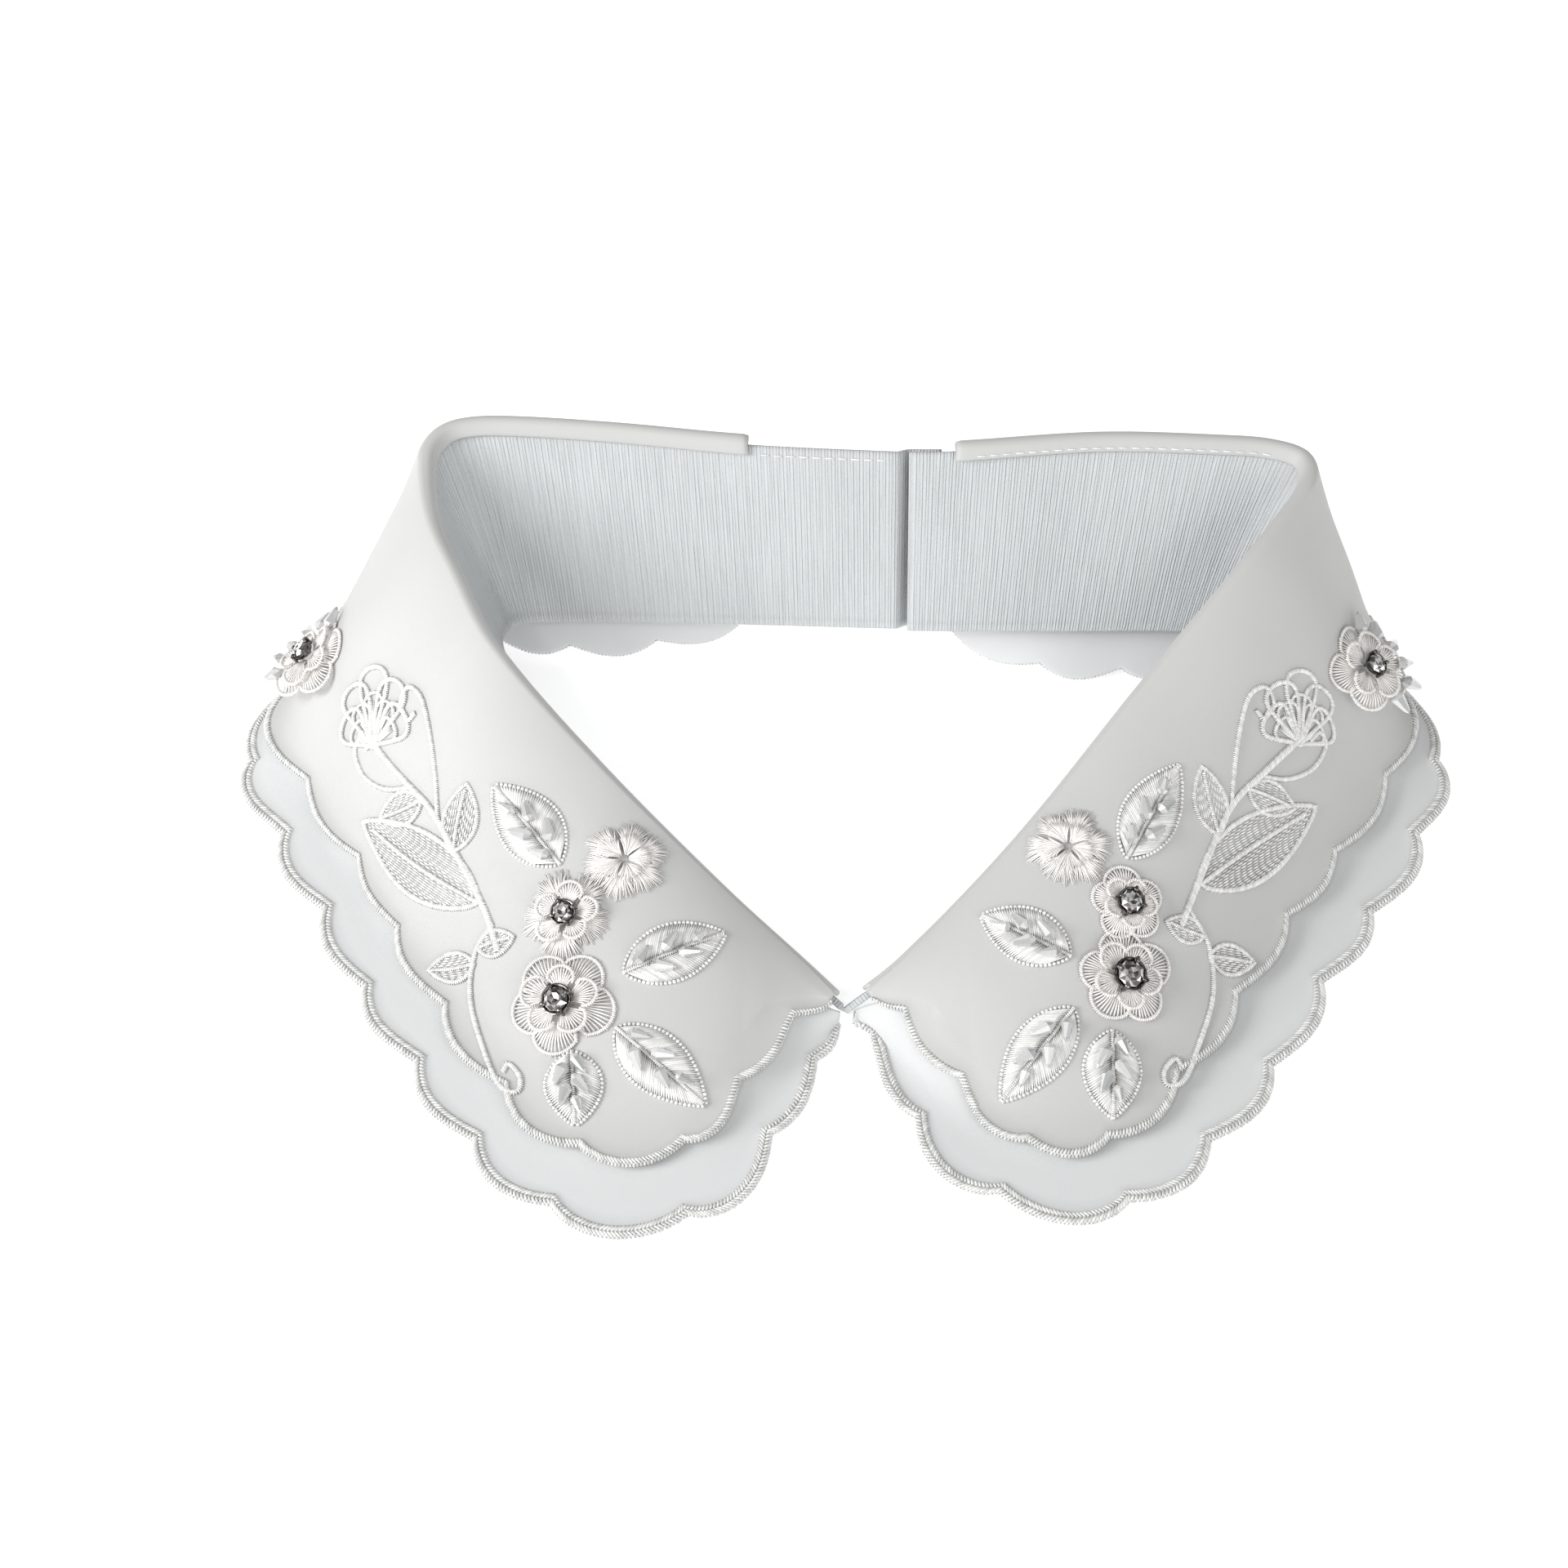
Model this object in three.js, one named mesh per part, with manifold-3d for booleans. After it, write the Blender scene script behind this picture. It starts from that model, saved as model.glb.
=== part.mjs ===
// Detachable white collar, standing open on a table as it is shown.
// Millimetres, +Z up, +X to the right and +Y to the back, seen from the front opening.
// Two scalloped wings of two cloth layers hang from one fold line, and a stand band goes
// down from the same fold on the neck side. Thread flowers, beaded leaves, set stones and
// an embroidered sprig lie on each upper layer.

import * as THREE from 'three';
import { mergeVertices } from 'three/addons/utils/BufferGeometryUtils.js';
import Module from 'manifold-3d';

const wasm = await Module();
wasm.setup();

// Sizes of the whole collar
const NECK_HALF_WIDTH = 93;
const NECK_DEPTH = 122;
const FOLD_HEIGHT = 46;
const FALL_WIDTH = 70;

// Cloth and the room between its layers
const CLOTH = 1.0;
const BAND_CLOTH = 1.4;
const CLEARANCE = 0.3;
const FOLD_RADIUS = BAND_CLOTH / 2 + CLEARANCE + CLOTH / 2;
const FOLD_LIP = 2.2;
const UNDER_START = 10;
const UNDER_START_SHARE = 0.2;
const UNDER_LEVEL = FOLD_RADIUS - CLOTH - CLEARANCE;

// How the wings lie: a flat hem at the front and sides, standing scallops at the back
const FLAT_HEM = 15;
const HEM_SHARE = 0.26;
const HEM_BLEND = 0.13;
const STANDING_RISE = 3.9;
const BELLY = 0.035;
const STANDING_BELLY = -0.07;
const STANDING_EASE = 4;
const BELLY_CREST = 6.75;
const UPPER_LIFT = 1.2;

// Scalloped edges
const SCALLOP_BULGE = 0.15;
const SCALLOP_PEAK = 0.58;
const SCALLOP_ROUND = 0.8;
const EDGE_ROOM = 0.4;
const UNDER_BORDER = 2.2;
const UPPER_BORDER = 1.5;
const BORDER_RIDGE = 0.35;
const BORDER_RAMP = 0.5;
const UNDER_ROWS = [{ share: 0.3 }, { share: 0.5 }, { share: 0.66 }, { share: 0.82 }];
const UPPER_ROWS = [{ share: 0.36 }, { share: 0.61 }, { share: 0.8 }];
const EDGE_STEPS = 4;
const INNER_STEPS = 2;
const CORNER_STEPS = 4;
const CORNER_FROM = 11;
const CORNER_TO = 14;

// Band ends at the back of the neck: the left one laps outside the right one, with a
// fastening patch between them
const BAND_TOP_DROP = 0.3;
const LAP = 7;
const LAP_EASE = 12;
const LAP_STEPS = 8;
const PATCH_CLOTH = 1.0;
const PATCH_WIDTH = 5;
const PATCH_SHARE = 0.7;

// Ornaments: thread flowers, beaded leaves, stones in claw settings and the sprig
const SEAT_CLEARANCE = 0.6;
const PAD_EDGE = 0.7;
const PETAL_RISE = 1.5;
const FLOWER_EYE = 1.1;
const EYE_SHARE = 0.36;
const PETAL_SHARE = 0.7;
const FLOWER_LOBES = 5;
const PETAL_NOTCH = 0.3;
const PETAL_ROUND = 0.6;
const LOBE_STEPS = 4;
const LEAF_RIB = 1.6;
const LEAF_LEAN = 0.85;
const LEAF_ROUND = 0.8;
const LEAF_POINT = 0.5;
const LEAF_ROWS = [0, 0.15, 0.38, 0.62, 0.85, 1].map((share) => ({ share }));
const CRYSTAL_LENGTH = 5.6;
const CRYSTAL_WIDTH = 2.8;
const CRYSTAL_SIDES = 6;
const CRYSTAL_WAIST = 0.12;
const CRYSTAL_TIP = 0.5;
const CRYSTAL_HOLD = 2.8;
const SPRIG_PAD = 0.8;
const STEM_WIDTH = 1.6;
const STEM_STEPS = 10;
const GEM_SIDES = 8;
const GEM_GIRDLE = 0.86;
const GEM_LIFT = 0.2;
const GEM_EDGE = 0.25;
const GEM_CROWN = 1.0;
const GEM_TABLE = 0.64;
const SETTING_WALL = 0.6;
const SETTING_FOOT = 0.7;
const SETTING_FLOOR = 0.78;
const SETTING_HEIGHT = 1.5;
const CLAW_HEIGHT = 2.7;

// Fold line of each wing from the front point to the back of the neck:
// along = share of half the neck loop, across, back and up = shares of NECK_HALF_WIDTH,
// NECK_DEPTH and FOLD_HEIGHT.
const LEFT_FOLD = [
  { along: 0, across: 0, back: 0, up: 0.076 },
  { along: 0.047, across: 0.089, back: 0.064, up: 0.13 },
  { along: 0.14, across: 0.275, back: 0.176, up: 0.304 },
  { along: 0.29, across: 0.557, back: 0.365, up: 0.587 },
  { along: 0.416, across: 0.778, back: 0.534, up: 0.848 },
  { along: 0.49, across: 0.867, back: 0.666, up: 0.935 },
  { along: 0.55, across: 0.926, back: 0.773, up: 0.978 },
  { along: 0.615, across: 0.948, back: 0.91, up: 1 },
  { along: 0.64, across: 0.928, back: 0.962, up: 1 },
  { along: 0.665, across: 0.88, back: 0.99, up: 1 },
  { along: 0.7, across: 0.786, back: 0.998, up: 1 },
  { along: 0.793, across: 0.534, back: 0.983, up: 1 },
  { along: 0.912, across: 0.215, back: 0.953, up: 1 },
  { along: 1.048, across: -0.151, back: 0.935, up: 1 },
];
const RIGHT_FOLD = [
  { along: 0, across: 0, back: 0, up: 0.076 },
  { along: 0.062, across: 0.13, back: 0.063, up: 0.196 },
  { along: 0.196, across: 0.38, back: 0.239, up: 0.435 },
  { along: 0.359, across: 0.655, back: 0.476, up: 0.717 },
  { along: 0.5, across: 0.895, back: 0.683, up: 0.946 },
  { along: 0.59, across: 1.037, back: 0.832, up: 1 },
  { along: 0.613, across: 1.057, back: 0.876, up: 1 },
  { along: 0.636, across: 1.044, back: 0.918, up: 1 },
  { along: 0.664, across: 0.975, back: 0.942, up: 1 },
  { along: 0.7, across: 0.877, back: 0.951, up: 1 },
  { along: 0.806, across: 0.592, back: 0.959, up: 1 },
  { along: 0.931, across: 0.258, back: 0.937, up: 1 },
  { along: 0.97, across: 0.152, back: 0.935, up: 1 },
];

// Foot of the stand band, in the same shares as the fold line
const LEFT_FOOT = [
  { along: 0, across: 0, back: 0.012, up: 0.03 },
  { along: 0.14, across: 0.248, back: 0.202, up: 0.045 },
  { along: 0.29, across: 0.5, back: 0.414, up: 0.065 },
  { along: 0.416, across: 0.692, back: 0.597, up: 0.14 },
  { along: 0.55, across: 0.785, back: 0.715, up: 0.25 },
  { along: 0.64, across: 0.77, back: 0.765, up: 0.28 },
  { along: 0.7, across: 0.705, back: 0.778, up: 0.28 },
  { along: 0.793, across: 0.49, back: 0.778, up: 0.28 },
  { along: 0.912, across: 0.195, back: 0.77, up: 0.285 },
  { along: 1.048, across: -0.151, back: 0.757, up: 0.295 },
];
const RIGHT_FOOT = [
  { along: 0, across: 0, back: 0.012, up: 0.03 },
  { along: 0.14, across: 0.25, back: 0.18, up: 0.048 },
  { along: 0.29, across: 0.48, back: 0.42, up: 0.076 },
  { along: 0.4, across: 0.64, back: 0.587, up: 0.141 },
  { along: 0.5, across: 0.785, back: 0.68, up: 0.24 },
  { along: 0.613, across: 0.86, back: 0.735, up: 0.31 },
  { along: 0.7, across: 0.77, back: 0.742, up: 0.325 },
  { along: 0.806, across: 0.535, back: 0.742, up: 0.325 },
  { along: 0.931, across: 0.24, back: 0.742, up: 0.325 },
  { along: 0.97, across: 0.152, back: 0.745, up: 0.32 },
];

// One row for each notch of the under layer: where its line leaves the fold, its heading
// in degrees from sideways to the front, its run over the table as a share of FALL_WIDTH,
// and how far its hem lies flat, from 1, flat, to 0, standing.
const LEFT_STATIONS = [
  { along: 0.005, heading: 78, run: 0.03, flat: 1 },
  { along: 0.024, heading: 83, run: 0.2, flat: 1 },
  { along: 0.08, heading: 89.5, run: 0.566, flat: 1 },
  { along: 0.128, heading: 83.5, run: 0.93, flat: 1 },
  { along: 0.184, heading: 71.5, run: 1.07, flat: 1 },
  { along: 0.232, heading: 64, run: 1.015, flat: 1 },
  { along: 0.28, heading: 56.3, run: 0.915, flat: 1 },
  { along: 0.344, heading: 51.3, run: 0.833, flat: 1 },
  { along: 0.404, heading: 44.5, run: 0.736, flat: 1 },
  { along: 0.464, heading: 36.4, run: 0.706, flat: 0.93 },
  { along: 0.52, heading: 28, run: 0.69, flat: 0.7 },
  { along: 0.572, heading: 24.5, run: 0.5, flat: 0.5 },
  { along: 0.616, heading: 31, run: 0.36, flat: 0.2 },
  { along: 0.672, heading: 56, run: 0.34, flat: 0 },
  { along: 0.736, heading: 61.6, run: 0.37, flat: 0 },
  { along: 0.792, heading: 68.5, run: 0.37, flat: 0 },
  { along: 0.85, heading: 76.5, run: 0.306, flat: 0 },
  { along: 0.912, heading: 82, run: 0.2, flat: 0 },
];
const RIGHT_STATIONS = [
  { along: 0.005, heading: 70, run: 0.03, flat: 1 },
  { along: 0.02, heading: 80, run: 0.085, flat: 1 },
  { along: 0.072, heading: 91, run: 0.46, flat: 1 },
  { along: 0.128, heading: 85, run: 0.832, flat: 1 },
  { along: 0.184, heading: 73.5, run: 1.03, flat: 1 },
  { along: 0.232, heading: 65.3, run: 1.006, flat: 1 },
  { along: 0.284, heading: 57.8, run: 0.943, flat: 1 },
  { along: 0.344, heading: 50.9, run: 0.86, flat: 1 },
  { along: 0.404, heading: 44.6, run: 0.814, flat: 1 },
  { along: 0.464, heading: 35.5, run: 0.754, flat: 0.93 },
  { along: 0.52, heading: 28.6, run: 0.663, flat: 0.7 },
  { along: 0.572, heading: 26.5, run: 0.44, flat: 0.5 },
  { along: 0.616, heading: 36.2, run: 0.31, flat: 0.2 },
  { along: 0.672, heading: 62.8, run: 0.334, flat: 0 },
  { along: 0.736, heading: 75.8, run: 0.383, flat: 0 },
  { along: 0.8, heading: 80.8, run: 0.404, flat: 0 },
  { along: 0.866, heading: 82.7, run: 0.363, flat: 0 },
  { along: 0.931, heading: 88, run: 0.2, flat: 0 },
];

// One row for each notch of the upper layer: the station at its fold, and the station
// and share of the fall at its edge.
const LEFT_UPPER = [
  { fold: 0.66, station: 0.72, fall: 0.1 },
  { fold: 1.1, station: 1.66, fall: 0.38 },
  { fold: 1.9, station: 2.61, fall: 0.59 },
  { fold: 2.75, station: 3.14, fall: 0.756 },
  { fold: 3.75, station: 3.95, fall: 0.823 },
  { fold: 4.95, station: 4.97, fall: 0.819 },
  { fold: 6.11, station: 6.11, fall: 0.807 },
  { fold: 7.15, station: 7.15, fall: 0.767 },
  { fold: 8.15, station: 8.15, fall: 0.748 },
  { fold: 9.32, station: 9.32, fall: 0.785 },
  { fold: 10.7, station: 10.7, fall: 0.85 },
  { fold: 12, station: 12, fall: 0.84 },
  { fold: 13.1, station: 13.1, fall: 0.85 },
  { fold: 14.1, station: 14.1, fall: 0.86 },
  { fold: 15.1, station: 15.1, fall: 0.86 },
  { fold: 16, station: 16, fall: 0.86 },
  { fold: 17, station: 16.85, fall: 0.86 },
];
const RIGHT_UPPER = [
  { fold: 1.1, station: 1.15, fall: 0.1 },
  { fold: 1.4, station: 1.83, fall: 0.33 },
  { fold: 2.1, station: 2.72, fall: 0.597 },
  { fold: 2.95, station: 3.34, fall: 0.79 },
  { fold: 3.85, station: 4.03, fall: 0.813 },
  { fold: 5.0, station: 5.04, fall: 0.783 },
  { fold: 6.13, station: 6.13, fall: 0.76 },
  { fold: 7.2, station: 7.2, fall: 0.757 },
  { fold: 8.21, station: 8.21, fall: 0.751 },
  { fold: 9.33, station: 9.33, fall: 0.766 },
  { fold: 10.7, station: 10.7, fall: 0.82 },
  { fold: 12, station: 12, fall: 0.84 },
  { fold: 13.1, station: 13.1, fall: 0.86 },
  { fold: 14.1, station: 14.1, fall: 0.87 },
  { fold: 15, station: 15, fall: 0.87 },
  { fold: 16, station: 16, fall: 0.87 },
  { fold: 17, station: 16.85, fall: 0.86 },
];

// Flowers: place of the middle on the wing, width across the petals and width of its stone
const LEFT_FLOWERS = [
  { name: 'shoulder', station: 10.37, fall: 0.578, width: 17, stone: 5 },
  { name: 'small', station: 4.81, fall: 0.134, width: 13.4, stone: 0 },
  { name: 'upper', station: 5.2, fall: 0.35, width: 16.4, stone: 5 },
  { name: 'large', station: 4.74, fall: 0.532, width: 19, stone: 6 },
];
const RIGHT_FLOWERS = [
  { name: 'shoulder', station: 9.95, fall: 0.483, width: 17, stone: 5 },
  { name: 'small', station: 4.96, fall: 0.12, width: 13.4, stone: 0 },
  { name: 'upper', station: 5.35, fall: 0.345, width: 13.8, stone: 5.4 },
  { name: 'large', station: 4.89, fall: 0.482, width: 17.2, stone: 6.4 },
];

// Leaves: place of the stalk end and of the tip, and width across
const LEFT_LEAVES = [
  { name: 'rising', station: 5.68, fall: 0.265, tipStation: 6.99, tipFall: 0.24, width: 12 },
  { name: 'inner', station: 4.11, fall: 0.367, tipStation: 2.95, tipFall: 0.11, width: 11.5 },
  { name: 'slanting', station: 3.98, fall: 0.5, tipStation: 2.98, tipFall: 0.648, width: 11.5 },
  { name: 'hanging', station: 4.32, fall: 0.64, tipStation: 4.05, tipFall: 0.77, width: 10 },
];
const RIGHT_LEAVES = [
  { name: 'rising', station: 5.68, fall: 0.26, tipStation: 6.99, tipFall: 0.205, width: 11 },
  { name: 'inner', station: 4.27, fall: 0.34, tipStation: 3.2, tipFall: 0.08, width: 11 },
  { name: 'slanting', station: 4.09, fall: 0.46, tipStation: 3.16, tipFall: 0.661, width: 11 },
  { name: 'hanging', station: 4.4, fall: 0.6, tipStation: 4.13, tipFall: 0.76, width: 10 },
];

// Crystals stitched on each leaf: share of its length, shift to the side as a share of
// its half width, and turn in degrees from the rib
const LEAF_CRYSTALS = [
  { along: 0.22, aside: 0.35, turn: 35 },
  { along: 0.42, aside: -0.4, turn: -30 },
  { along: 0.62, aside: 0.3, turn: 25 },
];

// Crystals fanned round each shoulder flower: bearing in degrees from the way to the back
// of the neck towards the hem
const SHOULDER_CRYSTALS = [{ bearing: -8 }, { bearing: 36 }, { bearing: 70 }, { bearing: 114 }];

// Embroidered sprig on each wing: a bloom, a broad filled leaf and the stem that joins them
const LEFT_SPRIG = {
  bloom: { station: 8.75, fall: 0.48, tipStation: 9.35, tipFall: 0.36, width: 15 },
  blade: { station: 6.4, fall: 0.51, tipStation: 8.35, tipFall: 0.66, width: 13 },
  stem: [
    { station: 5.85, fall: 0.56 },
    { station: 6.4, fall: 0.5 },
    { station: 7.4, fall: 0.44 },
    { station: 8.1, fall: 0.45 },
    { station: 8.85, fall: 0.475 },
  ],
};
const RIGHT_SPRIG = {
  bloom: { station: 8.55, fall: 0.44, tipStation: 9.1, tipFall: 0.32, width: 15 },
  blade: { station: 6.4, fall: 0.47, tipStation: 8.3, tipFall: 0.6, width: 13 },
  stem: [
    { station: 5.9, fall: 0.5 },
    { station: 6.4, fall: 0.46 },
    { station: 7.3, fall: 0.4 },
    { station: 8.0, fall: 0.41 },
    { station: 8.65, fall: 0.43 },
  ],
};

function makeWing(name, side, fold, foot, stations, upper, flowers, leaves, sprig) {
  const numbered = stations.map((row, index) => ({ ...row, station: index }));
  return { name, side, fold, foot, stations: numbered, upper, flowers, leaves, sprig };
}
const LEFT = makeWing(
  'left', -1, LEFT_FOLD, LEFT_FOOT, LEFT_STATIONS, LEFT_UPPER, LEFT_FLOWERS, LEFT_LEAVES, LEFT_SPRIG,
);
const RIGHT = makeWing(
  'right', 1, RIGHT_FOLD, RIGHT_FOOT, RIGHT_STATIONS, RIGHT_UPPER, RIGHT_FLOWERS, RIGHT_LEAVES,
  RIGHT_SPRIG,
);

const cloth = new THREE.MeshStandardMaterial({ color: 0xf3f3f1, roughness: 0.7, metalness: 0 });
const thread = new THREE.MeshStandardMaterial({ color: 0xf7f4ef, roughness: 0.5, metalness: 0 });
const silver = new THREE.MeshStandardMaterial({ color: 0x9c9a96, roughness: 0.25, metalness: 1 });
const stone = new THREE.MeshStandardMaterial({ color: 0xe8ecf0, roughness: 0.05, metalness: 0 });

// Smooth line through one column of a table, with slopes taken from the neighbouring rows
function follow(rows, place, column, at) {
  let i = 0;
  while (i < rows.length - 2 && at > rows[i + 1][place]) i += 1;
  const slope = (j) => {
    const before = rows[Math.max(j - 1, 0)];
    const after = rows[Math.min(j + 1, rows.length - 1)];
    return (after[column] - before[column]) / (after[place] - before[place]);
  };
  const low = rows[i];
  const high = rows[i + 1];
  const span = high[place] - low[place];
  const t = (at - low[place]) / span;
  const t2 = t * t;
  const t3 = t2 * t;
  return (
    (2 * t3 - 3 * t2 + 1) * low[column]
    + (t3 - 2 * t2 + t) * span * slope(i)
    + (3 * t2 - 2 * t3) * high[column]
    + (t3 - t2) * span * slope(i + 1)
  );
}

function linePoint(wing, rows, along) {
  return new THREE.Vector3(
    wing.side * follow(rows, 'along', 'across', along) * NECK_HALF_WIDTH,
    follow(rows, 'along', 'back', along) * NECK_DEPTH,
    follow(rows, 'along', 'up', along) * FOLD_HEIGHT,
  );
}

function alongAt(wing, station) {
  return follow(wing.stations, 'station', 'along', station);
}

// Point of the fall: station counts the notches, fall goes from 0 at the fold to 1 at the hem
function fallPoint(wing, station, fall) {
  const fold = linePoint(wing, wing.fold, alongAt(wing, station));
  const heading = THREE.MathUtils.degToRad(follow(wing.stations, 'station', 'heading', station));
  const run = follow(wing.stations, 'station', 'run', station) * FALL_WIDTH;
  const flat = THREE.MathUtils.clamp(follow(wing.stations, 'station', 'flat', station), 0, 1);
  const hem = CLOTH / 2 - UNDER_LEVEL + (1 - flat) * STANDING_RISE;
  const drop = fold.z - hem;
  const turn = 1 - Math.min(FLAT_HEM / Math.hypot(run, drop), HEM_SHARE);
  const left = 1 - fall / turn;
  let eased = 0;
  if (left >= HEM_BLEND) {
    eased = left;
  } else if (left > -HEM_BLEND) {
    eased = (left + HEM_BLEND) ** 2 / (4 * HEM_BLEND);
  }
  const height = flat * eased + (1 - flat) * (1 - fall);
  const share = Math.min(fall / THREE.MathUtils.lerp(1, turn, flat), 1);
  const fullness = THREE.MathUtils.lerp(BELLY, STANDING_BELLY, (1 - flat) ** STANDING_EASE);
  const belly = fullness * BELLY_CREST * share * (1 - share) ** 2;
  const out = new THREE.Vector3(wing.side * Math.cos(heading), -Math.sin(heading), 0);
  const point = fold.addScaledVector(out, run * fall + belly * drop);
  point.z = hem + drop * height + belly * run;
  return point;
}

const STEP = 0.01;
const LOCATE_ROUNDS = 8;
const SEAT_AHEAD = 0.1;

function slopes(wing, station, fall) {
  const along = fallPoint(wing, station + STEP, fall).sub(fallPoint(wing, station - STEP, fall));
  const down = fallPoint(wing, station, fall + STEP).sub(fallPoint(wing, station, fall - STEP));
  along.divideScalar(2 * STEP);
  down.divideScalar(2 * STEP);
  const normal = along.clone().cross(down).normalize().multiplyScalar(-wing.side);
  return { along, down, normal };
}

// The upper layer's free edge floats a little over the under layer
function upperLevel(fall) {
  return FOLD_RADIUS + UPPER_LIFT * fall * fall;
}

function underLevel() {
  return UNDER_LEVEL;
}

// Layers keep their level over the fall surface, measured along its normal
function levelPoint(wing, station, fall, level) {
  return fallPoint(wing, station, fall).addScaledVector(slopes(wing, station, fall).normal, level);
}

function positionsToGeometry(points, faces) {
  const geometry = new THREE.BufferGeometry();
  geometry.setAttribute(
    'position',
    new THREE.Float32BufferAttribute(points.flatMap((p) => [p.x, p.y, p.z]), 3),
  );
  geometry.setIndex(faces.flat());
  return facingOut(geometry);
}

function facingOut(geometry) {
  const position = geometry.getAttribute('position');
  const index = geometry.getIndex();
  const corners = [new THREE.Vector3(), new THREE.Vector3(), new THREE.Vector3()];
  let volume = 0;
  for (let i = 0; i < index.count; i += 3) {
    corners.forEach((corner, k) => corner.fromBufferAttribute(position, index.getX(i + k)));
    volume += corners[0].dot(corners[1].clone().cross(corners[2]));
  }
  if (volume < 0) {
    for (let i = 0; i < index.count; i += 3) {
      const first = index.getX(i);
      index.setX(i, index.getX(i + 1));
      index.setX(i + 1, first);
    }
  }
  return geometry;
}

// Closed sheet from rows of { at, top, bottom }: rows may hold different numbers of points,
// and all start at the same value of at and end at the same value.
function sheetGeometry(rows) {
  const points = [];
  const faces = [];
  const number = (point) => points.push(point) - 1;
  const grid = rows.map((row) => row.map(({ at, top, bottom }) => (
    { at, top: number(top), bottom: number(bottom) }
  )));
  for (let r = 0; r + 1 < grid.length; r += 1) {
    const upper = grid[r];
    const lower = grid[r + 1];
    let i = 0;
    let j = 0;
    while (i + 1 < upper.length || j + 1 < lower.length) {
      const nextUpper = i + 1 < upper.length ? upper[i + 1].at : Infinity;
      const nextLower = j + 1 < lower.length ? lower[j + 1].at : Infinity;
      const third = nextUpper <= nextLower ? upper[i + 1] : lower[j + 1];
      faces.push([upper[i].top, lower[j].top, third.top]);
      faces.push([lower[j].bottom, upper[i].bottom, third.bottom]);
      if (nextUpper <= nextLower) i += 1;
      else j += 1;
    }
  }
  const rim = (a, b) => {
    faces.push([a.top, b.top, b.bottom]);
    faces.push([a.top, b.bottom, a.bottom]);
  };
  const first = grid[0];
  const last = grid[grid.length - 1];
  for (let i = 0; i + 1 < first.length; i += 1) rim(first[i], first[i + 1]);
  for (let i = 0; i + 1 < last.length; i += 1) rim(last[i + 1], last[i]);
  for (let r = 0; r + 1 < grid.length; r += 1) {
    rim(grid[r + 1][0], grid[r][0]);
    rim(grid[r][grid[r].length - 1], grid[r + 1][grid[r + 1].length - 1]);
  }
  return positionsToGeometry(points, faces);
}

function toManifold(geometry) {
  const bare = new THREE.BufferGeometry();
  bare.setAttribute('position', geometry.getAttribute('position').clone());
  if (geometry.getIndex()) bare.setIndex(geometry.getIndex().clone());
  const merged = mergeVertices(bare, 1e-4);
  return new wasm.Manifold(new wasm.Mesh({
    numProp: 3,
    vertProperties: new Float32Array(merged.getAttribute('position').array),
    triVerts: new Uint32Array(merged.getIndex().array),
  }));
}

function joined(geometries) {
  let solid = toManifold(geometries[0]);
  for (const geometry of geometries.slice(1)) solid = solid.add(toManifold(geometry));
  const mesh = solid.getMesh();
  const result = new THREE.BufferGeometry();
  result.setAttribute('position', new THREE.Float32BufferAttribute(mesh.vertProperties, 3));
  result.setIndex([...mesh.triVerts]);
  return result;
}

// Edge of a layer with its scallops: each column has its place on the fold line, its place
// on the fall, and the way out over the cloth that the scallop bulges
function edgeColumns(wing, notches, steps) {
  const rows = notches.map((row, index) => ({ ...row, index }));
  const columns = [];
  const chord = (i) => {
    const a = fallPoint(wing, rows[i].station, rows[i].fall);
    return a.distanceTo(fallPoint(wing, rows[i + 1].station, rows[i + 1].fall));
  };
  const warp = Math.log(0.5) / Math.log(SCALLOP_PEAK);
  for (let i = 0; i + 1 < rows.length; i += 1) {
    const count = steps(rows[i].station);
    for (let k = 0; k < count; k += 1) columns.push({ at: i + k / count, scallop: i, share: k / count });
  }
  columns.push({ at: rows.length - 1, scallop: rows.length - 2, share: 1 });
  return columns.map(({ at, scallop, share }) => {
    const fold = follow(rows, 'index', 'fold', at);
    const station = follow(rows, 'index', 'station', at);
    const fall = follow(rows, 'index', 'fall', at);
    const ahead = Math.min(at + STEP, rows.length - 1);
    const behind = Math.max(at - STEP, 0);
    const place = (where) => fallPoint(
      wing, follow(rows, 'index', 'station', where), follow(rows, 'index', 'fall', where),
    );
    const tangent = place(ahead).sub(place(behind)).normalize();
    const { normal } = slopes(wing, station, fall);
    const out = tangent.clone().cross(normal).normalize().multiplyScalar(wing.side);
    const bulge = SCALLOP_BULGE * chord(scallop) * Math.sin(Math.PI * share ** warp) ** SCALLOP_ROUND;
    return { at, fold, station, fall, out, normal, bulge };
  });
}

function clothPoint(middle, normal, ridge) {
  return {
    top: middle.clone().addScaledVector(normal, CLOTH / 2 + ridge),
    bottom: middle.clone().addScaledVector(normal, -CLOTH / 2),
  };
}

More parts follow.
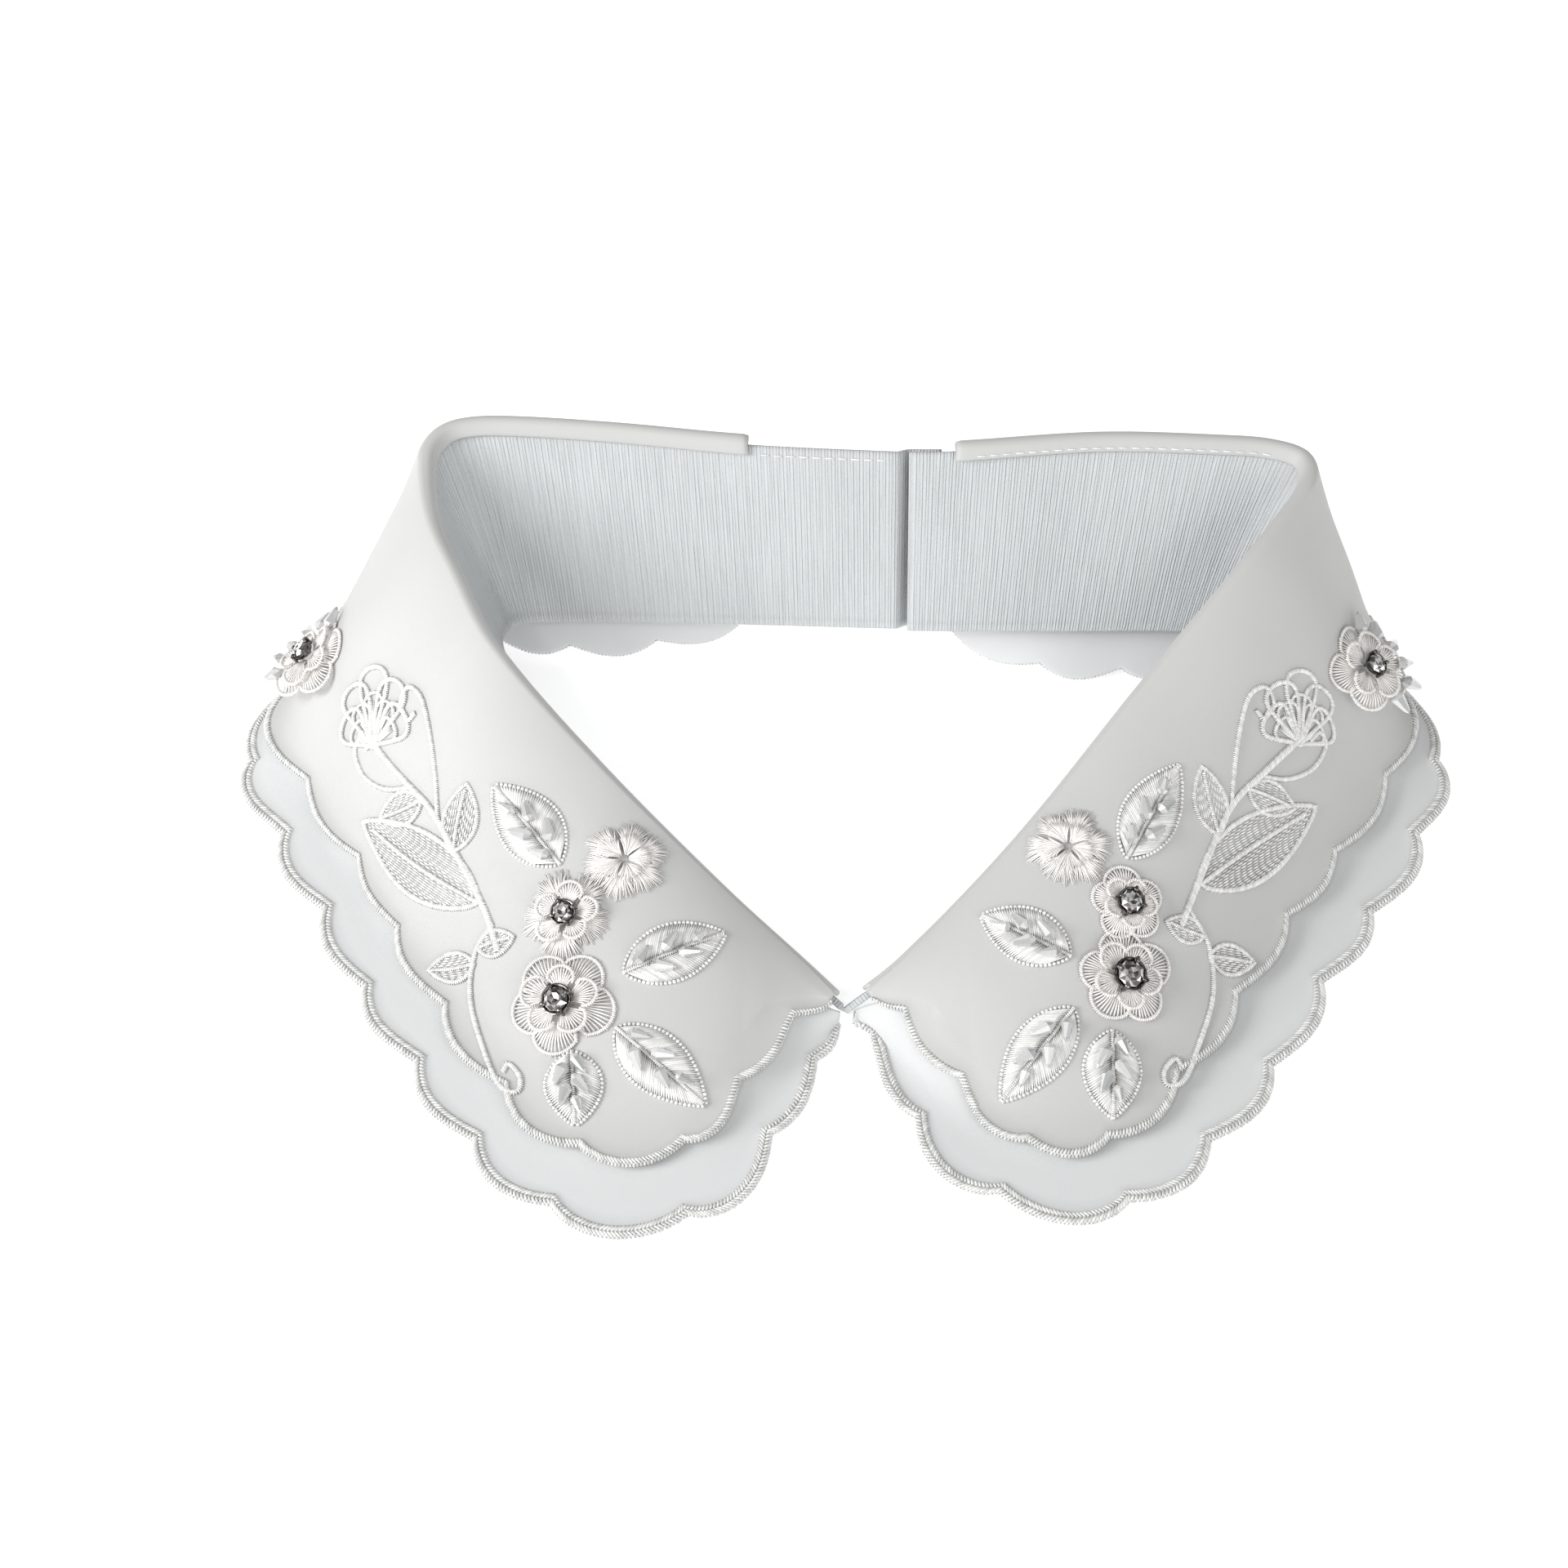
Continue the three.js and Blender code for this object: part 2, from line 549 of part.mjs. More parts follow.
// Rows of the raised border, from its inner ramp out to the scalloped edge. Where a layer
// ends on the slope, its scallops follow the slope.
function borderRows(wing, columns, level, border, onSlope) {
  const edge = (column, inset, ridge) => {
    const base = fallPoint(wing, column.station, column.fall);
    const fold = fallPoint(wing, column.fold, 0);
    const room = Math.min(1, (EDGE_ROOM * base.distanceTo(fold)) / (border + BORDER_RAMP));
    const target = base.addScaledVector(column.out, column.bulge - inset * room);
    if (onSlope) {
      const spot = locate(wing, target, column.station, column.fall);
      const { normal } = slopes(wing, spot.station, spot.fall);
      const middle = levelPoint(wing, spot.station, spot.fall, level(spot.fall));
      return { at: column.at, ...clothPoint(middle, normal, ridge) };
    }
    target.addScaledVector(column.normal, level(column.fall));
    return { at: column.at, ...clothPoint(target, column.normal, ridge) };
  };
  const edges = columns.map((column) => edge(column, 0, BORDER_RIDGE));
  if (onSlope) return [columns.map((column) => edge(column, border, 0)), edges];
  return [
    columns.map((column) => edge(column, border + BORDER_RAMP, 0)),
    columns.map((column) => edge(column, border, BORDER_RIDGE)),
    edges,
  ];
}

function insideRow(wing, columns, level, share) {
  return columns.map(({ at, fold, station, fall }) => {
    const s = THREE.MathUtils.lerp(fold, station, share);
    const f = fall * share;
    const { normal } = slopes(wing, s, f);
    return { at, ...clothPoint(levelPoint(wing, s, f, level(f)), normal, 0) };
  });
}

// Row a little below the fold, where the under layer starts
function topRow(wing, columns, level) {
  return columns.map(({ at, fold: station, fall: edge }) => {
    const reach = fallPoint(wing, station, 0).distanceTo(fallPoint(wing, station, 1));
    const fall = Math.min(UNDER_START / reach, UNDER_START_SHARE * edge);
    const { normal } = slopes(wing, station, fall);
    return { at, ...clothPoint(levelPoint(wing, station, fall, level(fall)), normal, 0) };
  });
}

function underLayer(wing) {
  const notches = wing.stations.map(({ station }) => ({ fold: station, station, fall: 1 }));
  const columns = edgeColumns(wing, notches, () => EDGE_STEPS);
  const inner = edgeColumns(wing, notches, innerSteps);
  return sheetGeometry([
    topRow(wing, inner, underLevel),
    ...UNDER_ROWS.map(({ share }) => insideRow(wing, inner, underLevel, share)),
    ...borderRows(wing, columns, underLevel, UNDER_BORDER, false),
  ]);
}

function innerSteps(station) {
  return station >= CORNER_FROM && station < CORNER_TO ? CORNER_STEPS : INNER_STEPS;
}

// Directions at the fold: down the fall, down the band, and their sides away from each other
function foldFrame(wing, station) {
  const along = alongAt(wing, station);
  const fold = linePoint(wing, wing.fold, along);
  const ahead = linePoint(wing, wing.fold, along + STEP);
  const tangent = ahead.sub(linePoint(wing, wing.fold, along - STEP)).normalize();
  const band = linePoint(wing, wing.foot, along).sub(fold).normalize();
  const fallSide = slopes(wing, station, 0).normal;
  const bandSide = tangent.clone().cross(band).normalize().multiplyScalar(wing.side);
  return { fold, band, fallSide, bandSide };
}

// The upper layer rolls over the band's top edge and ends in a short lip on the neck side
function rollRows(wing, columns) {
  const shares = [0, 1 / 3, 2 / 3, 1];
  const lip = columns.map(({ at, fold: station }) => {
    const { fold, band, bandSide } = foldFrame(wing, station);
    const middle = fold.clone().addScaledVector(bandSide, FOLD_RADIUS).addScaledVector(band, FOLD_LIP);
    return { at, ...clothPoint(middle, bandSide, 0) };
  });
  const rolls = shares.map((share) => columns.map(({ at, fold: station }) => {
    const { fold, band, fallSide, bandSide } = foldFrame(wing, station);
    const down = slopes(wing, station, 0).down.normalize();
    const crest = band.clone().add(down).normalize().negate();
    const [from, to, t] = share < 0.5 ? [bandSide, crest, share * 2] : [crest, fallSide, share * 2 - 1];
    const angle = from.angleTo(to);
    const side = from.clone().multiplyScalar(Math.sin((1 - t) * angle))
      .addScaledVector(to, Math.sin(t * angle)).normalize();
    return { at, ...clothPoint(fold.clone().addScaledVector(side, FOLD_RADIUS), side, 0) };
  }));
  return [lip, ...rolls];
}

function upperLayer(wing) {
  const columns = edgeColumns(wing, wing.upper, () => EDGE_STEPS);
  const inner = edgeColumns(wing, wing.upper, innerSteps);
  return sheetGeometry([
    ...rollRows(wing, inner),
    topRow(wing, inner, upperLevel),
    ...UPPER_ROWS.map(({ share }) => insideRow(wing, inner, upperLevel, share)),
    ...borderRows(wing, columns, upperLevel, UPPER_BORDER, true),
  ]);
}

// Line down the band from the fold to its foot, with the side that faces away from the neck
function bandLine(wing, along) {
  const fold = linePoint(wing, wing.fold, along);
  const foot = linePoint(wing, wing.foot, along);
  const ahead = linePoint(wing, wing.fold, along + STEP);
  const tangent = ahead.sub(linePoint(wing, wing.fold, along - STEP)).normalize();
  const down = foot.clone().sub(fold).normalize();
  const side = down.clone().cross(tangent).normalize().multiplyScalar(wing.side);
  return { fold, foot, down, side };
}

function lastAlong(wing) {
  return wing.fold[wing.fold.length - 1].along;
}

function bandRows(lines) {
  return ['fold', 'foot'].map((end) => lines.map(({ fold, foot, down, side }, at) => {
    const middle = end === 'fold' ? fold.clone().addScaledVector(down, BAND_TOP_DROP) : foot;
    return {
      at,
      top: middle.clone().addScaledVector(side, BAND_CLOTH / 2),
      bottom: middle.clone().addScaledVector(side, -BAND_CLOTH / 2),
    };
  }));
}

// One band goes round the neck from the right back end, past the front point, to the left
// back end, which moves outwards and laps over the right one
function neckBand() {
  const alongs = (wing) => edgeColumns(wing, wing.upper, innerSteps)
    .map(({ fold }) => alongAt(wing, fold));
  const right = [...alongs(RIGHT), lastAlong(RIGHT)].reverse().map((along) => bandLine(RIGHT, along));
  const left = alongs(LEFT).map((along) => bandLine(LEFT, along));
  const start = alongs(LEFT).pop();
  const end = bandLine(LEFT, lastAlong(LEFT));
  const reach = end.fold.x + LAP - bandLine(LEFT, start).fold.x;
  const lift = PATCH_CLOTH + BAND_CLOTH + 2 * CLEARANCE;
  for (let i = 1; i <= LAP_STEPS; i += 1) {
    const travel = (reach * i) / LAP_STEPS;
    const share = Math.min(travel / (reach - LAP), 1);
    const line = bandLine(LEFT, THREE.MathUtils.lerp(start, lastAlong(LEFT), share));
    const shift = Math.max(travel - (reach - LAP), 0);
    const ease = THREE.MathUtils.smoothstep(travel, reach - LAP - LAP_EASE, reach - LAP);
    for (const point of [line.fold, line.foot]) {
      point.x += shift;
      point.addScaledVector(line.side, lift * ease);
    }
    left.push(line);
  }
  return sheetGeometry(bandRows([...right, bandLine(LEFT, 0), ...left]));
}

// Plain patch that fastens the lapped band ends
function closurePatch() {
  const { fold, foot, side } = bandLine(RIGHT, lastAlong(RIGHT));
  const out = BAND_CLOTH / 2 + CLEARANCE + PATCH_CLOTH / 2;
  const shares = [(1 - PATCH_SHARE) / 2, (1 + PATCH_SHARE) / 2];
  return sheetGeometry(shares.map((share) => [0, 1].map((at) => {
    const middle = fold.clone().lerp(foot, share).addScaledVector(side, out);
    middle.x += CLEARANCE + at * PATCH_WIDTH;
    return {
      at,
      top: middle.clone().addScaledVector(side, PATCH_CLOTH / 2),
      bottom: middle.clone().addScaledVector(side, -PATCH_CLOTH / 2),
    };
  })));
}

// Place of a point near the fall: the station and share of the fall closest to it
function locate(wing, target, station, fall) {
  let s = station;
  let f = fall;
  for (let i = 0; i < LOCATE_ROUNDS; i += 1) {
    const { along, down } = slopes(wing, s, f);
    const miss = target.clone().sub(fallPoint(wing, s, f));
    const aa = along.dot(along);
    const ad = along.dot(down);
    const dd = down.dot(down);
    const ma = miss.dot(along);
    const md = miss.dot(down);
    const det = aa * dd - ad * ad;
    s += (ma * dd - md * ad) / det;
    f += (md * aa - ma * ad) / det;
  }
  return { station: s, fall: f };
}

function seatLevel(fall) {
  return upperLevel(fall) + CLOTH / 2 + SEAT_CLEARANCE;
}

// Ornaments follow the cloth: length goes from one place towards another, aside lies across
// it, and lift is measured from the upper layer's face plus the clearance
function seat(wing, from, toward) {
  const origin = fallPoint(wing, from.station, from.fall);
  const { normal } = slopes(wing, from.station, from.fall);
  const forward = fallPoint(wing, toward.station, toward.fall).sub(origin);
  const length = forward.length();
  forward.addScaledVector(normal, -forward.dot(normal)).normalize();
  const across = normal.clone().cross(forward);
  const place = (along, aside, lift) => {
    const target = origin.clone().addScaledVector(forward, along).addScaledVector(across, aside);
    const spot = locate(wing, target, from.station, from.fall);
    return levelPoint(wing, spot.station, spot.fall, seatLevel(spot.fall) + lift);
  };
  return { place, length };
}

function flowerGeometry(wing, flower) {
  const { place } = seat(wing, flower, { station: flower.station, fall: flower.fall + SEAT_AHEAD });
  const radius = flower.width / 2;
  const count = FLOWER_LOBES * LOBE_STEPS;
  const ring = (share, lift) => Array.from({ length: count }, (_, i) => {
    const angle = (2 * Math.PI * i) / count;
    const lobe = Math.abs(Math.sin((FLOWER_LOBES * angle) / 2)) ** PETAL_ROUND;
    const reach = radius * share * (1 - PETAL_NOTCH * share * (1 - lobe));
    return place(reach * Math.cos(angle), reach * Math.sin(angle), lift);
  });
  const points = [
    place(0, 0, FLOWER_EYE),
    ...ring(EYE_SHARE, FLOWER_EYE),
    ...ring(PETAL_SHARE, PETAL_RISE),
    ...ring(1, PAD_EDGE),
    ...ring(1, 0),
    place(0, 0, 0),
  ];
  const faces = [];
  for (let i = 0; i < count; i += 1) {
    const j = (i + 1) % count;
    faces.push([0, 1 + i, 1 + j]);
    for (let r = 0; r < 3; r += 1) {
      const a = 1 + r * count;
      const b = a + count;
      faces.push([a + i, b + i, b + j]);
      faces.push([a + i, b + j, a + j]);
    }
    const last = 1 + 3 * count;
    faces.push([last + j, last + i, last + count]);
  }
  return positionsToGeometry(points, faces);
}

function crystalGeometry(place, along, aside, lift, turn) {
  const angle = THREE.MathUtils.degToRad(turn);
  const at = (length, side, up) => place(
    along + length * Math.cos(angle) - side * Math.sin(angle),
    aside + length * Math.sin(angle) + side * Math.cos(angle),
    lift + up,
  );
  const half = CRYSTAL_WIDTH / 2;
  const tips = half * CRYSTAL_TIP;
  const points = [at(-CRYSTAL_LENGTH / 2, 0, tips), at(CRYSTAL_LENGTH / 2, 0, tips)];
  const faces = [];
  for (let i = 0; i < CRYSTAL_SIDES; i += 1) {
    const around = (2 * Math.PI * i) / CRYSTAL_SIDES;
    points.push(at(CRYSTAL_LENGTH * CRYSTAL_WAIST, half * Math.cos(around), half + half * Math.sin(around)));
    const j = (i + 1) % CRYSTAL_SIDES;
    faces.push([0, 2 + i, 2 + j], [1, 2 + j, 2 + i]);
  }
  return positionsToGeometry(points, faces);
}

function bladeGeometry(wing, leaf, edge, rib) {
  const { place, length } = seat(wing, leaf, { station: leaf.tipStation, fall: leaf.tipFall });
  const rows = [-1, 0, 1].map((side) => LEAF_ROWS.map(({ share }) => {
    const swell = Math.sin(Math.PI * share ** LEAF_LEAN) ** LEAF_ROUND;
    const half = (leaf.width / 2) * swell + LEAF_POINT / 2;
    const lift = side === 0 ? rib : edge;
    return {
      at: share,
      top: place(length * share, side * half, lift),
      bottom: place(length * share, side * half, 0),
    };
  }));
  return { geometry: sheetGeometry(rows), place, length };
}

function leafGeometry(wing, leaf) {
  const { geometry, place, length } = bladeGeometry(wing, leaf, PAD_EDGE, LEAF_RIB);
  const crystals = LEAF_CRYSTALS.map(({ along, aside, turn }) => crystalGeometry(
    place, length * along, (aside * leaf.width) / 2, PAD_EDGE, turn,
  ));
  return joined([geometry, ...crystals]);
}

// Crystals fanned round the shoulder flower, each held by the edge of a petal
function shoulderCrystals(wing, flower) {
  const { place } = seat(wing, flower, { station: flower.station + 1, fall: flower.fall });
  const reach = flower.width / 2 + CRYSTAL_LENGTH / 2 - CRYSTAL_HOLD;
  return SHOULDER_CRYSTALS.map(({ bearing }) => {
    const turn = -bearing * wing.side;
    const angle = THREE.MathUtils.degToRad(turn);
    return crystalGeometry(place, reach * Math.cos(angle), reach * Math.sin(angle), 0, turn);
  });
}

// Ring of points round the Z axis, as used by the stone and its setting
function ringPoints(radius, height, sides, shift) {
  return Array.from({ length: sides }, (_, i) => {
    const angle = (2 * Math.PI * (i + shift)) / sides;
    return new THREE.Vector3(radius * Math.cos(angle), radius * Math.sin(angle), height(i));
  });
}

// Closed turned form from rings of equal count, with a point in the middle of each end
function ringsGeometry(lowest, rings, highest) {
  const sides = rings[0].length;
  const points = [lowest, ...rings.flat(), highest];
  const faces = [];
  for (let i = 0; i < sides; i += 1) {
    const j = (i + 1) % sides;
    faces.push([0, 1 + j, 1 + i]);
    for (let r = 0; r + 1 < rings.length; r += 1) {
      const a = 1 + r * sides;
      const b = a + sides;
      faces.push([a + i, a + j, b + j], [a + i, b + j, b + i]);
    }
    const last = 1 + (rings.length - 1) * sides;
    faces.push([points.length - 1, last + i, last + j]);
  }
  return positionsToGeometry(points, faces);
}

// Stone seat: a round cup whose rim rises into four claws
function settingGeometry(width) {
  const inner = width / 2 + CLEARANCE / 2;
  const outer = inner + SETTING_WALL;
  const claws = (i) => (i % 2 === 0 ? CLAW_HEIGHT : SETTING_HEIGHT);
  const ring = (radius, height) => ringPoints(radius, height, GEM_SIDES, 0.5);
  return ringsGeometry(
    new THREE.Vector3(0, 0, 0),
    [
      ring(outer * SETTING_FOOT, () => 0),
      ring(outer, claws),
      ring(inner, claws),
      ring(inner * SETTING_FLOOR, () => SETTING_WALL),
    ],
    new THREE.Vector3(0, 0, SETTING_WALL),
  );
}

// Cut stone: a table, a crown of flat facets, a thin girdle and a pointed pavilion
function gemGeometry(width) {
  const radius = (width / 2) * GEM_GIRDLE;
  const girdle = SETTING_HEIGHT + GEM_LIFT;
  const ring = (share, height, shift) => ringPoints(radius * share, () => height, GEM_SIDES, shift);
  const table = girdle + GEM_CROWN;
  return ringsGeometry(
    new THREE.Vector3(0, 0, SETTING_WALL + CLEARANCE),
    [ring(1, girdle, 0.5), ring(1, girdle + GEM_EDGE, 0.5), ring(GEM_TABLE, table, 0.5)],
    new THREE.Vector3(0, 0, table),
  );
}

function sprigGeometry(wing) {
  const { bloom, blade, stem } = wing.sprig;
  const pads = [bloom, blade].map((pad) => bladeGeometry(wing, pad, SPRIG_PAD, SPRIG_PAD).geometry);
  const numbered = stem.map((row, index) => ({ ...row, index }));
  const rows = [-1, 1].map((side) => Array.from({ length: STEM_STEPS + 1 }, (_, i) => {
    const at = (i / STEM_STEPS) * (stem.length - 1);
    const spot = (where) => ({
      station: follow(numbered, 'index', 'station', where),
      fall: follow(numbered, 'index', 'fall', where),
    });
    const here = spot(at);
    const ahead = spot(at + STEP);
    const { normal } = slopes(wing, here.station, here.fall);
    const middle = fallPoint(wing, here.station, here.fall);
    const tangent = fallPoint(wing, ahead.station, ahead.fall).sub(middle).normalize();
    const across = normal.clone().cross(tangent).normalize();
    middle.addScaledVector(across, (side * STEM_WIDTH) / 2);
    return {
      at,
      top: middle.clone().addScaledVector(normal, seatLevel(here.fall) + SPRIG_PAD),
      bottom: middle.clone().addScaledVector(normal, seatLevel(here.fall)),
    };
  }));
  return joined([sheetGeometry(rows), ...pads]);
}

const collar = new THREE.Group();
const body = new THREE.Group();
collar.add(body);

function addPiece(name, geometry, material) {
  const mesh = new THREE.Mesh(geometry, material);
  mesh.name = name;
  body.add(mesh);
  return mesh;
}

addPiece('neck_band', neckBand(), cloth);
addPiece('closure_patch', closurePatch(), cloth);
for (const wing of [LEFT, RIGHT]) {
  addPiece(`${wing.name}_under_layer`, underLayer(wing), cloth);
  addPiece(`${wing.name}_upper_layer`, upperLayer(wing), cloth);
  addPiece(`${wing.name}_sprig`, sprigGeometry(wing), thread);
  for (const leaf of wing.leaves) {
    addPiece(`${wing.name}_${leaf.name}_leaf`, leafGeometry(wing, leaf), thread);
  }
  for (const flower of wing.flowers) {
    const petals = [flowerGeometry(wing, flower)];
    if (flower.name === 'shoulder') petals.push(...shoulderCrystals(wing, flower));
    addPiece(`${wing.name}_${flower.name}_flower`, joined(petals), thread);
    if (flower.stone > 0) {
      const { place } = seat(wing, flower, { station: flower.station, fall: flower.fall + SEAT_AHEAD });
      const foot = place(0, 0, FLOWER_EYE + CLEARANCE);
      const { normal } = slopes(wing, flower.station, flower.fall);
      const turn = new THREE.Quaternion().setFromUnitVectors(new THREE.Vector3(0, 0, 1), normal);
      const pair = [
        addPiece(`${wing.name}_${flower.name}_setting`, settingGeometry(flower.stone), silver),
        addPiece(`${wing.name}_${flower.name}_stone`, gemGeometry(flower.stone), stone),
      ];
      for (const mesh of pair) {
        mesh.position.copy(foot);
        mesh.quaternion.copy(turn);
      }
    }
  }
}

// The origin is the middle of the footprint, on the table
collar.updateMatrixWorld(true);
const box = new THREE.Box3().setFromObject(collar, true);
body.position.set(-(box.min.x + box.max.x) / 2, -(box.min.y + box.max.y) / 2, -box.min.z);

export default collar;
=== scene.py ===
import math
import bpy
import numpy as np
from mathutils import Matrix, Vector


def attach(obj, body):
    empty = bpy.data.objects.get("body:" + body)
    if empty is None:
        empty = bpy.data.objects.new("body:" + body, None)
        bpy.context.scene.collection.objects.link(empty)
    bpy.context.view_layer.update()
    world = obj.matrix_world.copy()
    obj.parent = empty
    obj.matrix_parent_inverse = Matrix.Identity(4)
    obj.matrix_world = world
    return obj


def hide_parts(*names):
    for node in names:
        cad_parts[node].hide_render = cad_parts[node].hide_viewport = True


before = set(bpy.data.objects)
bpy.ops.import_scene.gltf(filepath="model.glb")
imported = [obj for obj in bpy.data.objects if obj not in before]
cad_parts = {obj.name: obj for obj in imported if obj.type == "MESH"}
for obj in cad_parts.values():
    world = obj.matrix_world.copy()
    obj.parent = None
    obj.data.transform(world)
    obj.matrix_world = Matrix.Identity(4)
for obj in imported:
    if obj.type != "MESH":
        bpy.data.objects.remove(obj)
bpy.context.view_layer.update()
bpy.ops.object.select_all(action="DESELECT")

# Lengths are in millimetres from the front point of the neck line, +Y to the back of the
# neck, and become metres in the row frame when a piece is made.
MM = 0.001
FRONT_POINT = np.array([-0.00056, -0.03683, 0.0])

# Neck loop, height of the fold, and width of the fall from the fold to the hem
NECK_HALF_WIDTH = 93
NECK_DEPTH = 122
FOLD_HEIGHT = 46
FALL_WIDTH = 70

# Cloths, the room between them, and the roll over the band's top edge
CLOTH = 1.0
BAND_CLOTH = 1.4
CLEARANCE = 0.3
FOLD_RADIUS = BAND_CLOTH / 2 + CLEARANCE + CLOTH / 2
FOLD_LIP = 2.2
UNDER_START = 10
UNDER_START_SHARE = 0.2
UNDER_LEVEL = FOLD_RADIUS - CLOTH - CLEARANCE

# Form of the fall: its flat hem, the rise where it stands free, and its soft belly
FLAT_HEM = 15
HEM_SHARE = 0.26
HEM_BLEND = 0.13
STANDING_RISE = 3.9
BELLY = 0.035
STANDING_BELLY = -0.07
STANDING_EASE = 4
BELLY_CREST = 6.75
UPPER_LIFT = 1.2

# Scallops and borders of the layers
SCALLOP_BULGE = 0.15
SCALLOP_PEAK = 0.58
SCALLOP_ROUND = 0.8
SCALLOP_WARP = math.log(0.5) / math.log(SCALLOP_PEAK)
UNDER_BORDER = 2.3
UPPER_BORDER = 1.5
BORDER_RIDGE = 0.2
BORDER_TOP = CLOTH / 2 + BORDER_RIDGE
EDGE_DROP = 0.1
BAND_HEM_RIDGE = 0.12
# Stand band, its lapped ends, and the patch between them
BAND_TOP_DROP = 0.3
LAP = 7
PATCH_CLOTH = 1.0
PATCH_WIDTH = 5
PATCH_SHARE = 0.7
BAND_STEP = 2.6
# Soft dents of the band: run from its right end, depth as a share, amount, width and height
BAND_DENTS = (
    (12, 0.22, 0.8, 7, 0.2), (24, 0.5, -0.6, 9, 0.3), (38, 0.6, 0.7, 14, 0.3),
    (62, 0.35, -0.6, 14, 0.3), (470, 0.5, 0.7, 14, 0.35), (440, 0.35, -0.6, 12, 0.3),
)
# Number of a wing's last notch, and the small step that slopes are measured over
LAST_NOTCH = 17
STEP = 0.01
# The first rows inside the scalloped edge, the depth down to which they follow its bulge,
# the share of it that is left at the deepest, and the share of a short fall that they may take
EDGE_INSETS = (5.0, 3.9)
BULGE_DEPTH = 2.9
DEEP_BULGE = 0.1
ROOM_SHARE = 0.4
# Search for the place on the fall that lies closest to a point
LOCATE_ROUNDS = 7
LOCATE_DAMPING = 0.3
STATION_LIMIT = 0.4
FALL_LIMIT = 0.25


def chart(names, *rows):
    """Short table as named columns, with the row number as index."""
    columns = dict(zip(names.split(), np.array(rows, float).T))
    columns["index"] = np.arange(len(rows), dtype=float)
    return columns


# Fold line and foot of the stand band, as shares of half the neck loop, NECK_HALF_WIDTH,
# NECK_DEPTH and FOLD_HEIGHT
LEFT_FOLD = chart(
    "along across back up",
    (0, 0, 0, 0.076), (0.047, 0.089, 0.064, 0.13), (0.14, 0.275, 0.176, 0.304),
    (0.29, 0.557, 0.365, 0.587), (0.416, 0.778, 0.534, 0.848), (0.49, 0.867, 0.666, 0.935),
    (0.55, 0.926, 0.773, 0.978), (0.615, 0.948, 0.91, 1), (0.64, 0.928, 0.962, 1),
    (0.665, 0.88, 0.99, 1), (0.7, 0.786, 0.998, 1), (0.793, 0.534, 0.983, 1),
    (0.912, 0.215, 0.953, 1), (1.048, -0.151, 0.935, 1),
)
RIGHT_FOLD = chart(
    "along across back up",
    (0, 0, 0, 0.076), (0.062, 0.13, 0.063, 0.196), (0.196, 0.38, 0.239, 0.435),
    (0.359, 0.655, 0.476, 0.717), (0.5, 0.895, 0.683, 0.946), (0.59, 1.037, 0.832, 1),
    (0.613, 1.057, 0.876, 1), (0.636, 1.044, 0.918, 1), (0.664, 0.975, 0.942, 1),
    (0.7, 0.877, 0.951, 1), (0.806, 0.592, 0.959, 1), (0.931, 0.258, 0.937, 1),
    (0.97, 0.152, 0.935, 1),
)
LEFT_FOOT = chart(
    "along across back up",
    (0, 0, 0.012, 0.03), (0.14, 0.248, 0.202, 0.045), (0.29, 0.5, 0.414, 0.065),
    (0.416, 0.692, 0.597, 0.14), (0.55, 0.785, 0.715, 0.25), (0.64, 0.77, 0.765, 0.28),
    (0.7, 0.705, 0.778, 0.28), (0.793, 0.49, 0.778, 0.28), (0.912, 0.195, 0.77, 0.285),
    (1.048, -0.151, 0.757, 0.295),
)
RIGHT_FOOT = chart(
    "along across back up",
    (0, 0, 0.012, 0.03), (0.14, 0.25, 0.18, 0.048), (0.29, 0.48, 0.42, 0.076),
    (0.4, 0.64, 0.587, 0.141), (0.5, 0.785, 0.68, 0.24), (0.613, 0.86, 0.735, 0.31),
    (0.7, 0.77, 0.742, 0.325), (0.806, 0.535, 0.742, 0.325), (0.931, 0.24, 0.742, 0.325),
    (0.97, 0.152, 0.745, 0.32),
)

# One row for each notch of the under layer: its place on the fold, heading in degrees from
# sideways to the front, run as a share of FALL_WIDTH, and how far its hem lies flat
LEFT_STATIONS = chart(
    "along heading run flat",
    (0.005, 78, 0.03, 1), (0.024, 83, 0.2, 1), (0.08, 89.5, 0.566, 1), (0.128, 83.5, 0.93, 1),
    (0.184, 71.5, 1.07, 1), (0.232, 64, 1.015, 1), (0.28, 56.3, 0.915, 1),
    (0.344, 51.3, 0.833, 1), (0.404, 44.5, 0.736, 1), (0.464, 36.4, 0.706, 0.93),
    (0.52, 28, 0.69, 0.7), (0.572, 24.5, 0.5, 0.5), (0.616, 31, 0.36, 0.2),
    (0.672, 56, 0.34, 0), (0.736, 61.6, 0.37, 0), (0.792, 68.5, 0.37, 0),
    (0.85, 76.5, 0.306, 0), (0.912, 82, 0.2, 0),
)
RIGHT_STATIONS = chart(
    "along heading run flat",
    (0.005, 70, 0.03, 1), (0.02, 80, 0.085, 1), (0.072, 91, 0.46, 1), (0.128, 85, 0.832, 1),
    (0.184, 73.5, 1.03, 1), (0.232, 65.3, 1.006, 1), (0.284, 57.8, 0.943, 1),
    (0.344, 50.9, 0.86, 1), (0.404, 44.6, 0.814, 1), (0.464, 35.5, 0.754, 0.93),
    (0.52, 28.6, 0.663, 0.7), (0.572, 26.5, 0.44, 0.5), (0.616, 36.2, 0.31, 0.2),
    (0.672, 62.8, 0.334, 0), (0.736, 75.8, 0.383, 0), (0.8, 80.8, 0.404, 0),
    (0.866, 82.7, 0.363, 0), (0.931, 88, 0.2, 0),
)

